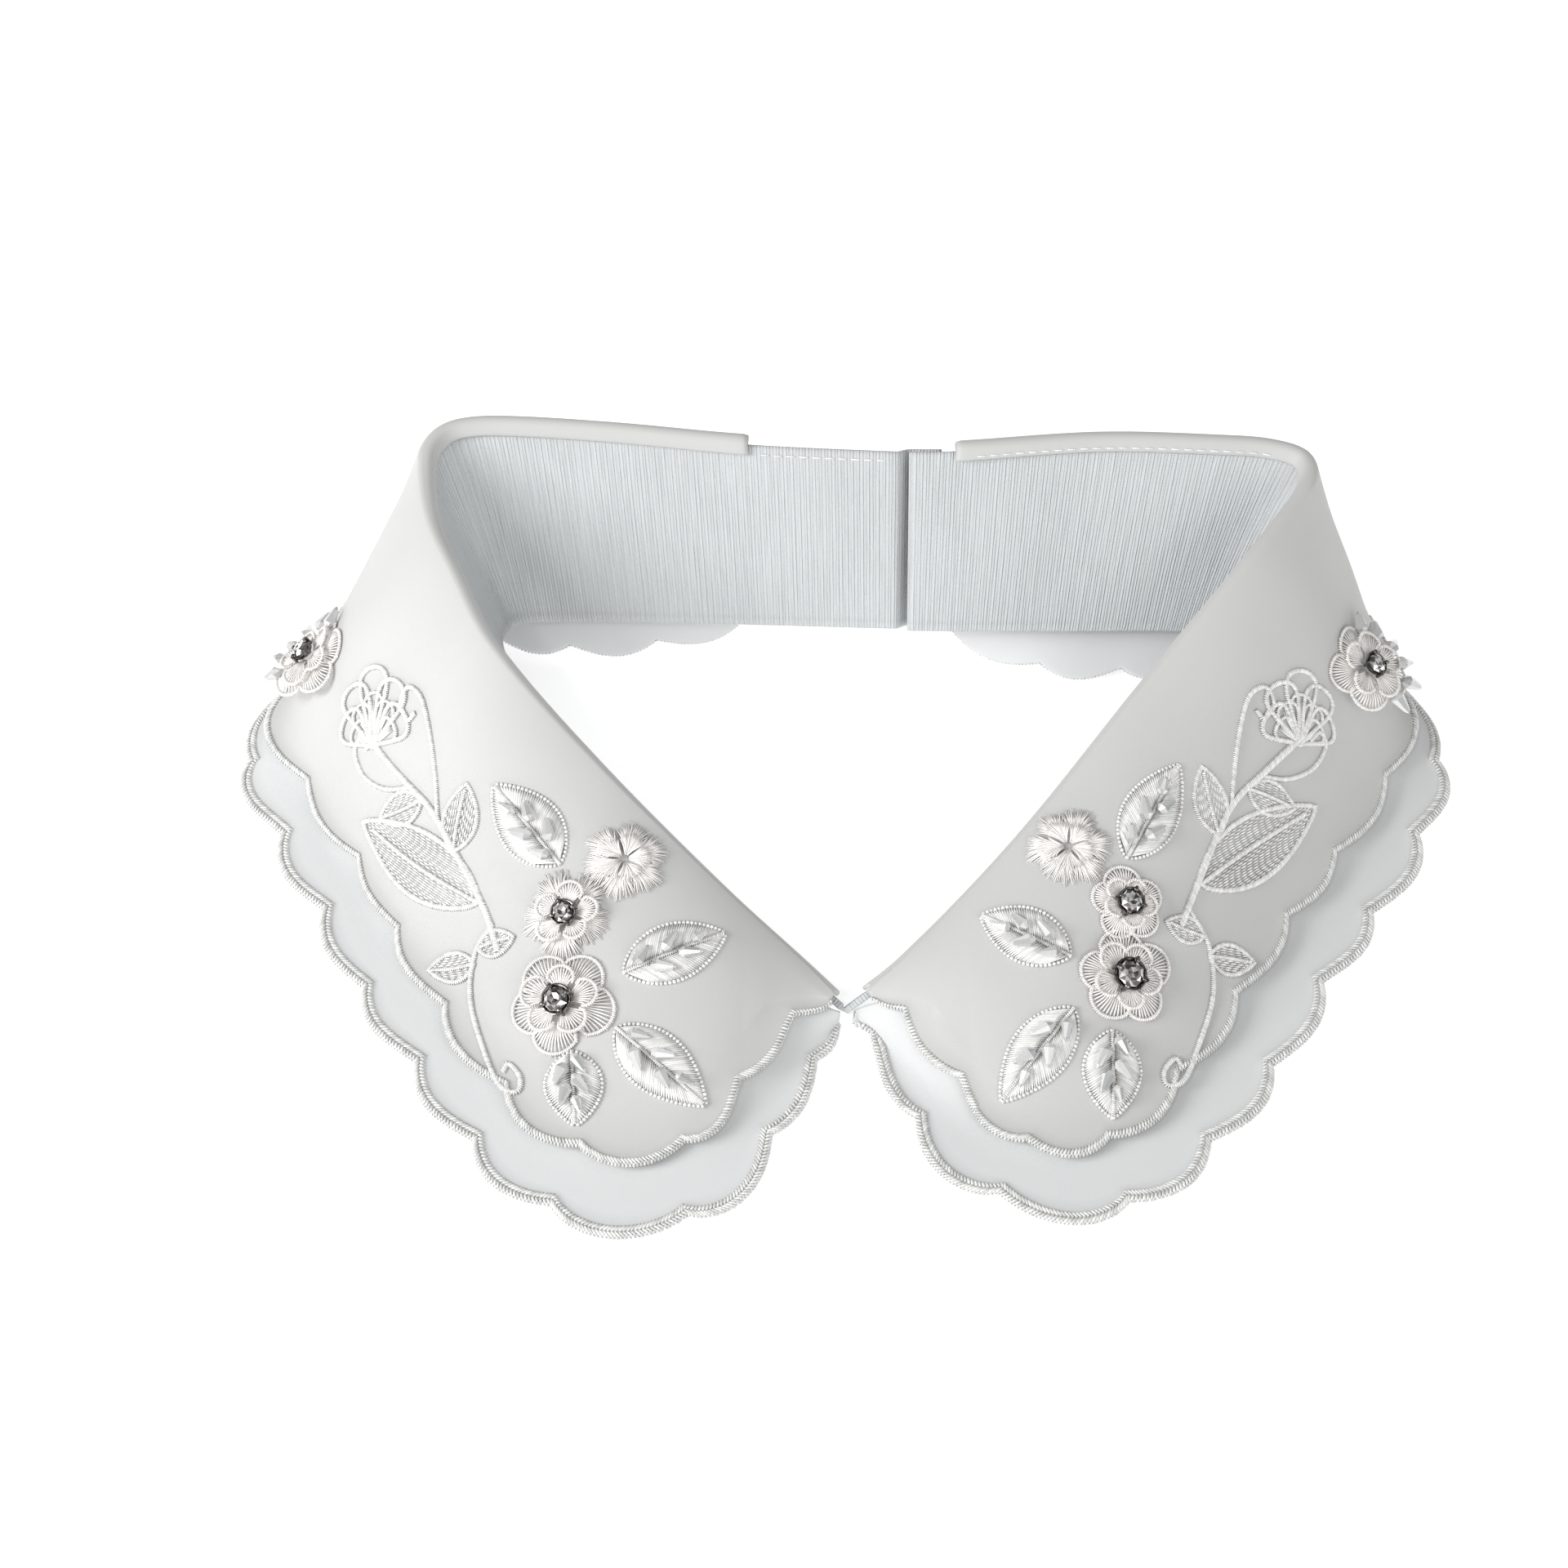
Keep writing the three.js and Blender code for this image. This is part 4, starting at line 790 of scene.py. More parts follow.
def fall_rows(wing, columns, start, steps, border):
    """Stations and falls of a layer's rows, from its start to its scalloped edge."""
    station, fall = edge_place(wing, columns, EDGE_INSETS[0])
    rows = []
    for share in np.linspace(0, 1, steps)[:-1]:
        way = start / fall + (1 - start / fall) * share
        rows.append((columns["fold"] + (station - columns["fold"]) * way, fall * way))
    rows += [edge_place(wing, columns, inset) for inset in (*EDGE_INSETS, *border)]
    return (np.stack(part) for part in zip(*rows))


def make_layer(wing, layer, middle, normal, finish):
    ridge = np.zeros(middle.shape[:2])
    ridge[-5:-1] = BORDER_RIDGE
    ridge[-1] = -EDGE_DROP
    points, faces, uv = closed_sheet(middle, normal, CLOTH, ridge)
    piece = make_piece(f"{wing['name']}_{layer}_cloth", points, faces, finish, uv=uv)
    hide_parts(f"{wing['name']}_{layer}_layer")
    return piece


def make_under_layer(wing):
    index = wing["stations"]["index"]
    notches = dict(index=index, fold=index, station=index, fall=np.ones(len(index)))
    columns = edge_columns(wing, notches, scallop_places(notches))
    _room, reach = edge_room(columns)
    start = np.minimum(UNDER_START / reach, UNDER_START_SHARE)
    border = (UNDER_BORDER + 0.5, UNDER_BORDER, 1.6, 0.8, 0.15, 0.0)
    stations, falls = fall_rows(wing, columns, start, 20, border)
    middle, normal = on_level(wing, stations, falls, under_level)
    return make_layer(wing, "under", middle, normal, UNDER_CLOTH), notches


def roll_rows(wing, fold_station):
    """The upper cloth rolls over the band's top edge and ends in a lip on the neck side."""
    fold, _foot, band, outer_side = band_line(wing, along_at(wing, fold_station))
    neck_side = -outer_side
    _along, down, fall_side = slopes(wing, fold_station, 0 * fold_station)
    crest = -unit(band + unit(down))
    rows = []
    for drop in (FOLD_LIP, FOLD_LIP * 0.8, FOLD_LIP * 0.4):
        rows.append((fold + neck_side * FOLD_RADIUS + band * drop, neck_side))
    for share in np.linspace(0, 2, ROLL_STEPS)[:-1]:
        first, second = (neck_side, crest) if share < 1 else (crest, fall_side)
        t = share if share < 1 else share - 1
        angle = np.arccos(np.clip(dot(first, second), -1, 1))[:, None]
        side = unit(np.sin((1 - t) * angle) * first + np.sin(t * angle) * second)
        rows.append((fold + side * FOLD_RADIUS, side))
    return (np.stack(part) for part in zip(*rows))


def make_upper_layer(wing):
    columns = edge_columns(wing, wing["upper"], scallop_places(wing["upper"]))
    border = (UPPER_BORDER + 0.6, UPPER_BORDER, 1.1, 0.6, 0.15, 0.0)
    stations, falls = fall_rows(wing, columns, 0, 24, border)
    middle, normal = on_level(wing, stations, falls, upper_level)
    rows, crease_rows = len(stations), len(stations) - len(EDGE_INSETS) - len(border)
    fade = np.clip(1 - np.arange(rows) / crease_rows, 0, 1)[:, None] ** 0.3
    rise = creases(wing, stations, falls) * fade * np.clip(falls * 8, 0, 1)
    roll, roll_normal = roll_rows(wing, columns["fold"])
    middle = np.concatenate([roll, middle + normal * rise[..., None]])
    return make_layer(wing, "upper", middle, np.concatenate([roll_normal, normal]), FINE_CLOTH)


def even_places(wing, notches, pitch):
    """Places along the scalloped edge that lie a stitch apart."""
    fine = np.linspace(0, len(notches["index"]) - 1, 4000)
    columns = edge_columns(wing, notches, fine)
    run = run_of(columns["base"] + columns["out"] * columns["bulge"][:, None])
    return np.interp(np.arange(pitch / 2, run[-1], pitch), run, fine)


def border_stitches(threads, wing, notches, level, pitch, bands, width):
    """Stitches across the border: each band gives the insets that it spans and its slant."""
    at = even_places(wing, notches, pitch)
    last = len(notches["index"]) - 1
    share, arch = (np.array(part) for part in zip(*STITCH_ARCH))
    for outer, inner, slant, rise in bands:
        places = []
        for way in share:
            columns = edge_columns(wing, notches, np.clip(at + slant * (way - 0.5), 0, last))
            places.append(edge_place(wing, columns, outer + (inner - outer) * way))
        s, f = (np.stack(part, 1) for part in zip(*places))
        middle, normal = on_level(wing, s, f, level)
        lift = arch * rise + BORDER_TOP - STITCH_HEIGHT * 0.25
        uneven = 1 + 0.12 * (threads.random.random(len(at)) - 0.5)
        path = middle + normal * lift[:, None]
        threads.strands(path, normal, width * uneven, STITCH_HEIGHT, taper=0.5)


def edge_wrap(threads, wing, notches, level, pitch, width, drop):
    """Stitches that turn down over the free edge."""
    columns = edge_columns(wing, notches, even_places(wing, notches, pitch))
    s, f = edge_place(wing, columns, 0.25)
    rim, normal = on_level(wing, s, f, level)
    out = unit(columns["out"] - normal * dot(columns["out"], normal)[:, None])
    turn = ((0.0, BORDER_TOP + 0.12), (0.3, CLOTH / 2), (0.42, 0.0), (0.3, -drop))
    path = np.stack([rim + out * reach + normal * lift for reach, lift in turn], axis=1)
    up = unit(out + 0.5 * normal)
    threads.strands(path, np.stack([up] * len(turn), axis=1), width, width * 0.6, taper=0.7)


# Seats of the ornaments

# A shoulder flower stands off the slope: its lower petals rise by this share of their way
# down from the start
SHOULDER_TILT = 0.36
TILT_START = 5.0

# A cord's stitches: share of its half width and of its height, pitch and thickness
CORD_ARCH = ((-1, 0.05), (-0.45, 0.8), (0.45, 0.8), (1, 0.05))
CORD_PITCH = 0.42
CORD_STRAND = 0.36


def seat(wing, start, toward):
    """Plane on the fall that an ornament is laid out in, and the way that it points."""
    station, fall = start
    origin = fall_point(wing, station, fall)
    _along, _down, normal = slopes(wing, station, fall)
    forward = fall_point(wing, *toward) - origin
    length = np.linalg.norm(forward)
    forward = unit(forward - normal * dot(forward, normal))
    return dict(
        wing=wing, origin=origin, forward=forward, across=np.cross(normal, forward),
        station=station, fall=fall, length=length, tilt=0.0, hinge=forward,
    )


def lay(spot, along, aside, lift):
    """Points over the cloth: along and aside in the plane of the seat, lift from the cloth."""
    along, aside, lift = np.broadcast_arrays(along, aside, lift)
    target = spot["origin"] + spot["forward"] * along[..., None] + spot["across"] * aside[..., None]
    s, f = locate(spot["wing"], target, spot["station"], spot["fall"])
    point, normal = on_level(spot["wing"], s, f, upper_level)
    below = dot(target - spot["origin"], spot["hinge"])
    raised = np.maximum(below + TILT_START, 0) * spot["tilt"]
    return point + normal * (CLOTH / 2 + lift + raised)[..., None], normal


def smooth_path(points):
    """Fine points on a smooth line through a few chosen ones."""
    points = np.asarray(points, float)
    rows = dict(enumerate(points.T), index=np.arange(len(points), dtype=float))
    fine = np.linspace(0, len(points) - 1, 40 * len(points))
    return np.stack([follow(rows, "index", i, fine) for i in range(points.shape[1])], 1)


def even_path(line, pitch):
    run = run_of(line)
    return read_line(line, run, even_steps(run, pitch))


def cord(threads, points, normals, width, height, slant=0.35):
    """Rope-like line: close slanted stitches laid across a line on the cloth."""
    run = run_of(points)
    at = even_steps(run, CORD_PITCH)
    middle, up = read_line(points, run, at), unit(read_line(normals, run, at))
    tangent = unit(np.gradient(middle, axis=0))
    side = np.cross(up, tangent) * (1 + 0.15 * (threads.random.random((len(at), 1)) - 0.5))
    path = np.stack([
        middle + (side + tangent * slant) * share * width / 2 + up * rise * height
        for share, rise in CORD_ARCH
    ], axis=1)
    ups = np.repeat(up[:, None], len(CORD_ARCH), axis=1)
    threads.strands(path, ups, CORD_PITCH * 1.25, CORD_STRAND, taper=0.55, sides=4)


def satin_cord(threads, spot, line, width, height, lift=0.0):
    """Cord along a line given in the plane of a seat."""
    line = even_path(line, 1.0)
    rises = line[:, 2] if line.shape[1] > 2 else 0.0
    cord(threads, *lay(spot, line[:, 0], line[:, 1], rises + lift), width, height)


def cloth_line(wing, places):
    """Points and normals on the cloth along a smooth line through stations and falls."""
    station, fall = smooth_path(places).T
    middle, normal = on_level(wing, station, fall, upper_level)
    return middle + normal * (CLOTH / 2 + 0.15), normal


def leaf_half(width, share):
    return width / 2 * np.sin(np.pi * np.clip(share, 0, 1) ** 0.85) ** 0.8


# Sewn leaves, flowers and crystals

# Satin ribs of a leaf: pitch, slant as a share of the leaf's length, then share of a rib's
# way and share of its height
RIB_STEP = 0.5
RIB_SLANT = 0.16
RIB_ARCH = ((0, 0.35), (0.3, 1.0), (0.7, 0.8), (1.0, 0.25))
BEAD_PITCH = 0.85
BEAD_RADIUS = 0.42
# Crystals of a leaf: share of its length, share of its half width, turn in degrees, size
LEAF_CRYSTALS = (
    (0.2, 0.3, 30, 0.9), (0.33, -0.42, -28, 1.0), (0.47, 0.36, 35, 1.0),
    (0.6, -0.3, -20, 0.95), (0.74, 0.16, 14, 0.8),
)
# Fan of crystals of a shoulder flower: bearing in degrees, share of its radius, size
SHOULDER_FAN = (
    (-22, 0.95, 1.0), (8, 1.0, 1.1), (38, 1.02, 1.1),
    (66, 0.98, 1.1), (94, 1.02, 1.0), (122, 0.95, 1.0),
)
CRYSTAL_LENGTH = 5.2
PETAL_REACH = {"shoulder": 1.1, "small": 1.14, "upper": 1.05, "large": 1.1}
PETAL_CURVE = 0.22
# Rings of petals: petals, turn as a share of a petal, share of the flower's reach, half
# angle, start, rises at the start, crest and edge, width of a thread, threads, fringed or not
CORDED_RING = (5, 0.25, 1.0, 0.6, 1.6, (0.3, 1.0, 0.4), 0.55, 15, False)
FRINGED_RING = (5, 0.25, 1.0, 0.6, 1.6, (0.3, 1.0, 0.4), 0.42, 24, True)
RAISED_RING = (5, 0.75, 0.72, 0.52, 1.4, (1.0, 2.1, 2.3), 0.5, 11, False)
SMALL_RINGS = (
    (6, 0.2, 1.0, 0.55, 1.2, (0.3, 1.1, 0.5), 0.4, 26, True),
    (5, 0.6, 0.66, 0.6, 0.9, (0.8, 1.7, 1.8), 0.38, 20, True),
)
# Rows of the stitches that fill a leaf, and loops of the bloom: turn and share of the reach
FILL_ROW = 0.5
FILL_STITCH = 1.8
BLOOM_LOOPS = ((0.95, 0.66), (-0.95, 0.66), (0.48, 0.88), (-0.48, 0.88), (0, 1.0))


def pick_faces(piece, test):
    bpy.ops.object.mode_set(mode="EDIT")
    bpy.ops.mesh.select_mode(type="FACE")
    bpy.ops.mesh.select_all(action="DESELECT")
    bpy.ops.object.mode_set(mode="OBJECT")
    for polygon in piece.data.polygons:
        polygon.select = test(polygon)
    bpy.ops.object.mode_set(mode="EDIT")


def make_leaf(wing, name, leaf, number):
    start, tip, width = leaf
    spot = seat(wing, start, tip)
    length = spot["length"]
    threads = Threads(number)
    root = np.linspace(0.02, 0.93, int(length / RIB_STEP))
    end = np.clip(root + RIB_SLANT, 0, 0.985)
    share, arch = (np.array(part) for part in zip(*RIB_ARCH))
    for side in SIDES:
        half = leaf_half(width, end) * side
        along = (root[:, None] + (end - root)[:, None] * share) * length
        aside = half[:, None] * (0.06 + 0.9 * share)
        puff = np.clip(np.abs(half) / (width / 2), 0.3, 1)[:, None]
        lift = arch * puff + 0.15 + 0.12 * (threads.random.random((len(root), 1)) - 0.5)
        threads.strands(*lay(spot, along, aside, lift), 0.56, 0.4, taper=0.6)
        edge = even_share(length, width, BEAD_PITCH)
        aside = side * (leaf_half(width, edge) + 0.1)
        threads.beads(*lay(spot, edge * length, aside, 0.35), BEAD_RADIUS)
    vein = np.stack([np.linspace(0, 0.97 * length, 30), np.zeros(30)], 1)
    satin_cord(threads, spot, vein, 0.8, 0.35, lift=0.55)
    piece = threads.make(f"{wing['name']}_{name}_leaf_stitches", MOTIF_THREAD)
    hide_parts(f"{wing['name']}_{name}_leaf")
    crystals = [
        (share * length, aside * width / 2, turn, size)
        for share, aside, turn, size in LEAF_CRYSTALS
    ]
    make_crystals(f"{wing['name']}_{name}_leaf_crystals", spot, crystals, 0.75, number)


def even_share(length, width, pitch):
    """Shares of a leaf's length that are even along its outline."""
    fine = np.linspace(0.0, 1.0, 200)
    run = run_of(np.stack([fine * length, leaf_half(width, fine)], 1))
    return np.interp(np.arange(0, run[-1], pitch), run, fine)


def petal_strands(threads, spot, bearing, reach, spread, start, lifts, width, count, fringed):
    """Fan of threads for one petal, with a corded outline round its tip or a loose fringe."""
    reach = reach * (1 + 0.12 * (threads.random.random() - 0.5))
    bearing = bearing + 0.16 * (threads.random.random() - 0.5)
    spread = spread * (1 + 0.16 * (threads.random.random() - 0.5))
    k = np.linspace(-1, 1, count)[:, None]
    uneven = threads.random.random((count, 1))
    loose = 0.13 * np.clip(uneven - 0.45, 0, 1) + 0.1 * (uneven - 0.4) * fringed
    tip = reach * (1 - PETAL_CURVE * k ** 2 + loose)
    share = np.array([0, 0.35, 0.7, 1.0])
    radius = start + (tip - start) * share
    turn = bearing + k * spread * (0.55 + 0.45 * share)
    base, crest, edge = lifts
    rise = np.array([base, base + (crest - base) * 0.7, crest, edge])
    if fringed:
        rise = rise + 0.3 * (threads.random.random((count, 1)) - 0.5)
    point, normal = lay(spot, radius * np.cos(turn), radius * np.sin(turn), rise)
    threads.strands(point, normal, width * 0.85, 0.34, taper=0.6, sides=4)
    if fringed:
        return
    k = np.concatenate([[-1.05], k[:, 0], [1.05]])
    turn = bearing + k * spread * 1.02
    radius = reach * (1 - PETAL_CURVE * k ** 2)
    radius[0] = radius[-1] = reach * 0.62
    rise = np.full(len(k), edge)
    rise[0] = rise[-1] = (base + crest) / 2
    line = np.stack([radius * np.cos(turn), radius * np.sin(turn), rise], 1)
    satin_cord(threads, spot, smooth_path(line), 0.75, 0.4)


def make_flower(wing, name, flower, number):
    station, fall, width, stone = flower
    spot = seat(wing, (station, fall), (station, fall + 0.1))
    threads = Threads(number)
    radius = width / 2 * PETAL_REACH[name]
    if name == "shoulder":
        spot["tilt"] = SHOULDER_TILT
    outer = FRINGED_RING if name == "upper" and wing is LEFT else CORDED_RING
    for petals, turn, reach, *form in (outer, RAISED_RING) if stone else SMALL_RINGS:
        for i in range(petals):
            bearing = 2 * math.pi * (i + turn) / petals
            petal_strands(threads, spot, bearing, radius * reach, *form)
    piece = threads.make(f"{wing['name']}_{name}_petals", PETAL_THREAD)
    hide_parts(f"{wing['name']}_{name}_flower")
    if name == "shoulder":
        shoulder = seat(wing, (station, fall), (station + 1, fall))
        shoulder.update(tilt=SHOULDER_TILT, hinge=spot["forward"])
        crystals = []
        for bearing, share, size in SHOULDER_FAN:
            turn, reach = -bearing * wing["side"], radius * share + 0.6
            along, aside = math.cos(math.radians(turn)), math.sin(math.radians(turn))
            crystals.append((reach * along, reach * aside, turn, size))
        make_crystals(f"{wing['name']}_shoulder_crystals", shoulder, crystals, 0.5, number)
    return spot


def steady_order(centres):
    """Order of a modelled form's faces by their place, the same in every run."""
    return np.lexsort(np.round(centres, 3).T)


def crystal_form():
    """One faceted drop, made once: points and faces for a length of 1 along X."""
    bpy.ops.mesh.primitive_cone_add(
        vertices=8, radius1=0.27, radius2=0.12, depth=0.62, location=(0, 0, 0),
    )
    drop = bpy.context.object
    for end, shrink, reach in ((1, 0.3, 0.14), (-1, 0.42, 0.2)):
        pick_faces(drop, lambda polygon: polygon.normal.z * end > 0.9)
        bpy.ops.mesh.extrude_region_move(TRANSFORM_OT_translate={"value": (0, 0, end * reach)})
        bpy.ops.transform.resize(value=(shrink, shrink, 1))
    bpy.ops.object.mode_set(mode="OBJECT")
    points = np.array([v.co[:] for v in drop.data.vertices])[:, [2, 0, 1]]
    faces = [list(p.vertices) for p in drop.data.polygons]
    order = steady_order(np.array([points[face].mean(axis=0) for face in faces]))
    bpy.data.objects.remove(drop)
    return points, [faces[i] for i in order]


CRYSTAL_POINTS, CRYSTAL_FACES = crystal_form()


def make_crystals(name, spot, crystals, lift, number):
    """Copies of the drop, each with its own facets and a random painted reflection tone for each
    facet, sewn on the cloth.
    """
    random = np.random.default_rng(number)
    points, faces, tones = [], [], []
    count = 0
    for along, aside, turn, size in crystals:
        form = CRYSTAL_POINTS * CRYSTAL_LENGTH * size
        cos, sin = math.cos(math.radians(turn)), math.sin(math.radians(turn))
        u = along + form[:, 0] * cos - form[:, 1] * sin
        v = aside + form[:, 0] * sin + form[:, 1] * cos
        middle, _normal = lay(spot, u, v, lift + 1.2 * size + form[:, 2])
        for face in CRYSTAL_FACES:
            points.append(middle[face])
            faces.append(list(range(count, count + len(face))))
            # One random painted reflection tone for the whole facet
            tones.append(np.full(len(face), random.random()))
            count += len(face)
    points, tones = np.concatenate(points), np.concatenate(tones)
    return make_piece(name, points, faces, CRYSTAL, tone=tones, smooth=False)


def fill_stitches(threads, spot, length, width):
    """Rows of short overlapping stitches that fill a leaf shape."""
    fine = np.linspace(0.04, 0.96, 160)
    half = leaf_half(width, fine) - 0.3
    stitches = []
    for i, v in enumerate(np.arange(-width / 2 + FILL_ROW, width / 2, FILL_ROW)):
        inside = fine[half > abs(v)] * length
        if len(inside) < 4:
            continue
        first = inside[0] - FILL_STITCH * ((i * 0.4) % 1)
        for u in np.arange(first, inside[-1], FILL_STITCH):
            a, b = max(u, inside[0]), min(u + FILL_STITCH, inside[-1])
            if b - a > 0.4:
                stitches.append((a, b, v))
    a, b, v = np.array(stitches).T[..., None]
    shares = np.array([0.0, 0.5, 1.0])
    lift = 0.12 + 0.28 * (1 - (2 * shares - 1) ** 2)
    point, normal = lay(spot, a + (b - a) * shares, v, lift)
    threads.strands(point, normal, FILL_ROW * 1.05, 0.34, taper=0.5, sides=4)


def loop_line(reach, width, turn):
    """A petal-shaped loop that leaves the seat and comes back to it."""
    t = np.linspace(0, 1, 40)
    along = reach * np.sin(np.pi * t) ** 0.9
    aside = width / 2 * np.sin(2 * np.pi * t) * (0.55 + 0.45 * np.sin(np.pi * t))
    cos, sin = np.cos(turn), np.sin(turn)
    return np.stack([along * cos - aside * sin, along * sin + aside * cos], 1)


def make_sprig(wing):
    threads = Threads(70)
    side_name = wing["name"]
    outline = np.linspace(0, 1, 60)
    vein = np.linspace(0, 1, 30)
    leaves = [(*wing["blade"], 1.25), *((*leaf, 1.0) for leaf in SMALL_LEAVES[side_name])]
    for start, tip, width, thick in leaves:
        spot = seat(wing, start, tip)
        length = spot["length"]
        fill_stitches(threads, spot, length, width)
        for side in SIDES:
            line = np.stack([outline * length, side * leaf_half(width, outline)], 1)
            satin_cord(threads, spot, line, thick, 0.55, lift=0.15)
        line = np.stack([0.9 * length * vein, 0.04 * width * np.sin(3 * vein)], 1)
        satin_cord(threads, spot, line, 0.8 * thick, 0.45, lift=0.4)
    start, tip, width = wing["bloom"]
    spot = seat(wing, start, tip)
    length = spot["length"] * 1.1
    for turn, reach in BLOOM_LOOPS:
        for share, thick in ((1, 1.15), (0.68, 0.8)):
            line = loop_line(length * reach * share, width * 0.6 * share, turn)
            satin_cord(threads, spot, line, thick, 0.5, lift=0.2)
        fan = np.linspace(-0.12, 0.12, 5)[:, None] + turn
        far = length * reach * np.array([0.12, 0.35, 0.58])
        point, normal = lay(spot, far * np.cos(fan), far * np.sin(fan), 0.35)
        threads.strands(point, normal, 0.5, 0.4, taper=0.5)
    cord(threads, *cloth_line(wing, wing["stem"]), 1.7, 0.7, slant=0.6)
    for tendril in TENDRILS[side_name]:
        cord(threads, *cloth_line(wing, tendril), 1.15, 0.55)
    piece = threads.make(f"{side_name}_sprig_stitches", MOTIF_THREAD)
    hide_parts(f"{side_name}_sprig")


# Stand band

DASH = 2.0
DASH_GAP = 0.75


def band_line(wing, along):
    """Fold and foot of the band, the way down it, and the way out of its outer face."""
    fold, foot = line_point(wing, wing["fold"], along), line_point(wing, wing["foot"], along)
    ahead, behind = (line_point(wing, wing["fold"], along + step) for step in (STEP, -STEP))
    down = unit(foot - fold)
    return fold, foot, down, unit(np.cross(down, unit(ahead - behind))) * wing["side"]


def band_lines():
    """Lines across the band, from its right back end round the neck to its left one."""
    last_right, last_left = RIGHT_FOLD["along"][-1], LEFT_FOLD["along"][-1]
    start = float(along_at(LEFT, LAST_NOTCH))
    right = band_line(RIGHT, np.linspace(last_right, 0, 170))
    left = band_line(LEFT, np.linspace(0, start, 150)[1:])
    first, last = (line_point(LEFT, LEFT_FOLD, place)[0] for place in (start, last_left))
    travel = np.linspace(0, last + LAP - first, 50)[1:]
    lapped = last - first
    share = np.minimum(travel / lapped, 1)
    fold, foot, down, side = band_line(LEFT, start + (last_left - start) * share)
    ease = np.clip((travel - (lapped - BAND_STEP)) / BAND_STEP, 0, 1)
    ease = (ease * ease * (3 - 2 * ease))[:, None]
    lift = side * (PATCH_CLOTH + BAND_CLOTH + 2 * CLEARANCE) * ease
    shift = np.maximum(travel - lapped, 0)[:, None] * np.array([1.0, 0, 0])
    end = (fold + lift + shift, foot + lift + shift, down, side)
    return [np.concatenate(parts) for parts in zip(right, left, end)]


def make_band():
    fold, foot, down, side = band_lines()
    top = fold + down * BAND_TOP_DROP
    shares = np.concatenate([[0, 0.012], np.linspace(0.03, 0.93, 20), [0.955, 0.96, 0.985, 1.0]])
    middle = top + (foot - top) * shares[:, None, None]
    run = run_of(top)
    for centre, depth, amount, wide, high in BAND_DENTS:
        bump = np.exp(-((run - centre) / wide) ** 2 - ((shares[:, None] - depth) / high) ** 2)
        middle = middle + side * (amount * bump)[..., None]
    ridge = np.zeros(middle.shape[:2])
    ridge[-3:] = BAND_HEM_RIDGE
    normal = np.broadcast_to(-side, middle.shape)
    points, faces, uv = closed_sheet(middle, normal, BAND_CLOTH, ridge)
    piece = make_piece("neck_band_cloth", points, faces, BAND_FINISH, uv=uv)
    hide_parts("neck_band")
    return piece


def dashes(threads, points, normals):
    """A row of straight stitches along a line."""
    run = run_of(points)
    first = np.arange(0, run[-1] - DASH, DASH + DASH_GAP)[:, None]
    at = first + np.array([0, 0.2, 0.8, 1.0]) * DASH
    up = unit(read_line(normals, run, at))
    lift = np.array([-0.1, 0.1, 0.1, -0.1])[:, None]
    threads.strands(read_line(points, run, at) + up * lift, up, 0.4, 0.24, taper=0.6)


def make_band_stitches():
    """A seam through the roll's lip round the back, and along the bare top of the band."""
    threads = Threads(80)
    along = np.linspace(0.66, float(along_at(RIGHT, LAST_NOTCH - 0.2)), 120)
    fold, _foot, down, side = band_line(RIGHT, along)
    dashes(threads, fold + down * FOLD_LIP * 0.62 - side * (FOLD_RADIUS + CLOTH / 2), -side)
    along = np.linspace(float(along_at(LEFT, LAST_NOTCH)) + 0.01, 1.03, 60)
    fold, _foot, down, side = band_line(LEFT, along)
    dashes(threads, fold + down * FOLD_LIP - side * (BAND_CLOTH / 2), -side)
    return threads.make("band_seam", SEWING_THREAD)


def make_patch():
    """Plain patch between the lapped ends of the band."""
    lines = band_line(RIGHT, RIGHT_FOLD["along"][-1:])
    fold, foot, _down, side = (part[0] for part in lines)
    shares = np.linspace((1 - PATCH_SHARE) / 2, (1 + PATCH_SHARE) / 2, 12)[:, None, None]
    across = (CLEARANCE + np.linspace(0, 1, 6) * PATCH_WIDTH)[:, None] * np.array([1.0, 0, 0])
    out = BAND_CLOTH / 2 + CLEARANCE + PATCH_CLOTH / 2
    middle = fold + (foot - fold) * shares + side * out + across
    points, faces, uv = closed_sheet(middle, np.broadcast_to(side, middle.shape), PATCH_CLOTH)
    piece = make_piece("closure_patch_cloth", points, faces, FINE_CLOTH, uv=uv)
    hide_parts("closure_patch")
    return piece


# Stones and their settings

# The modelled stone and its setting, made once and scaled to each flower's stone
GEM_WIDTH = 5.6
SETTING_WALL = 0.6
SETTING_HEIGHT = 1.5
CUP_DEPTH = 0.6
RIM_BEVEL = 0.14
CLAW_RADIUS = 0.42
CLAW_HEIGHT = 2.4
CLAW_TIP = 0.62
CROWN_HEIGHT = 1.0
GIRDLE = 0.25
GEM_POINT = 0.7
STONE_SHARE = 0.88
FLOWER_FOOT = 2.0


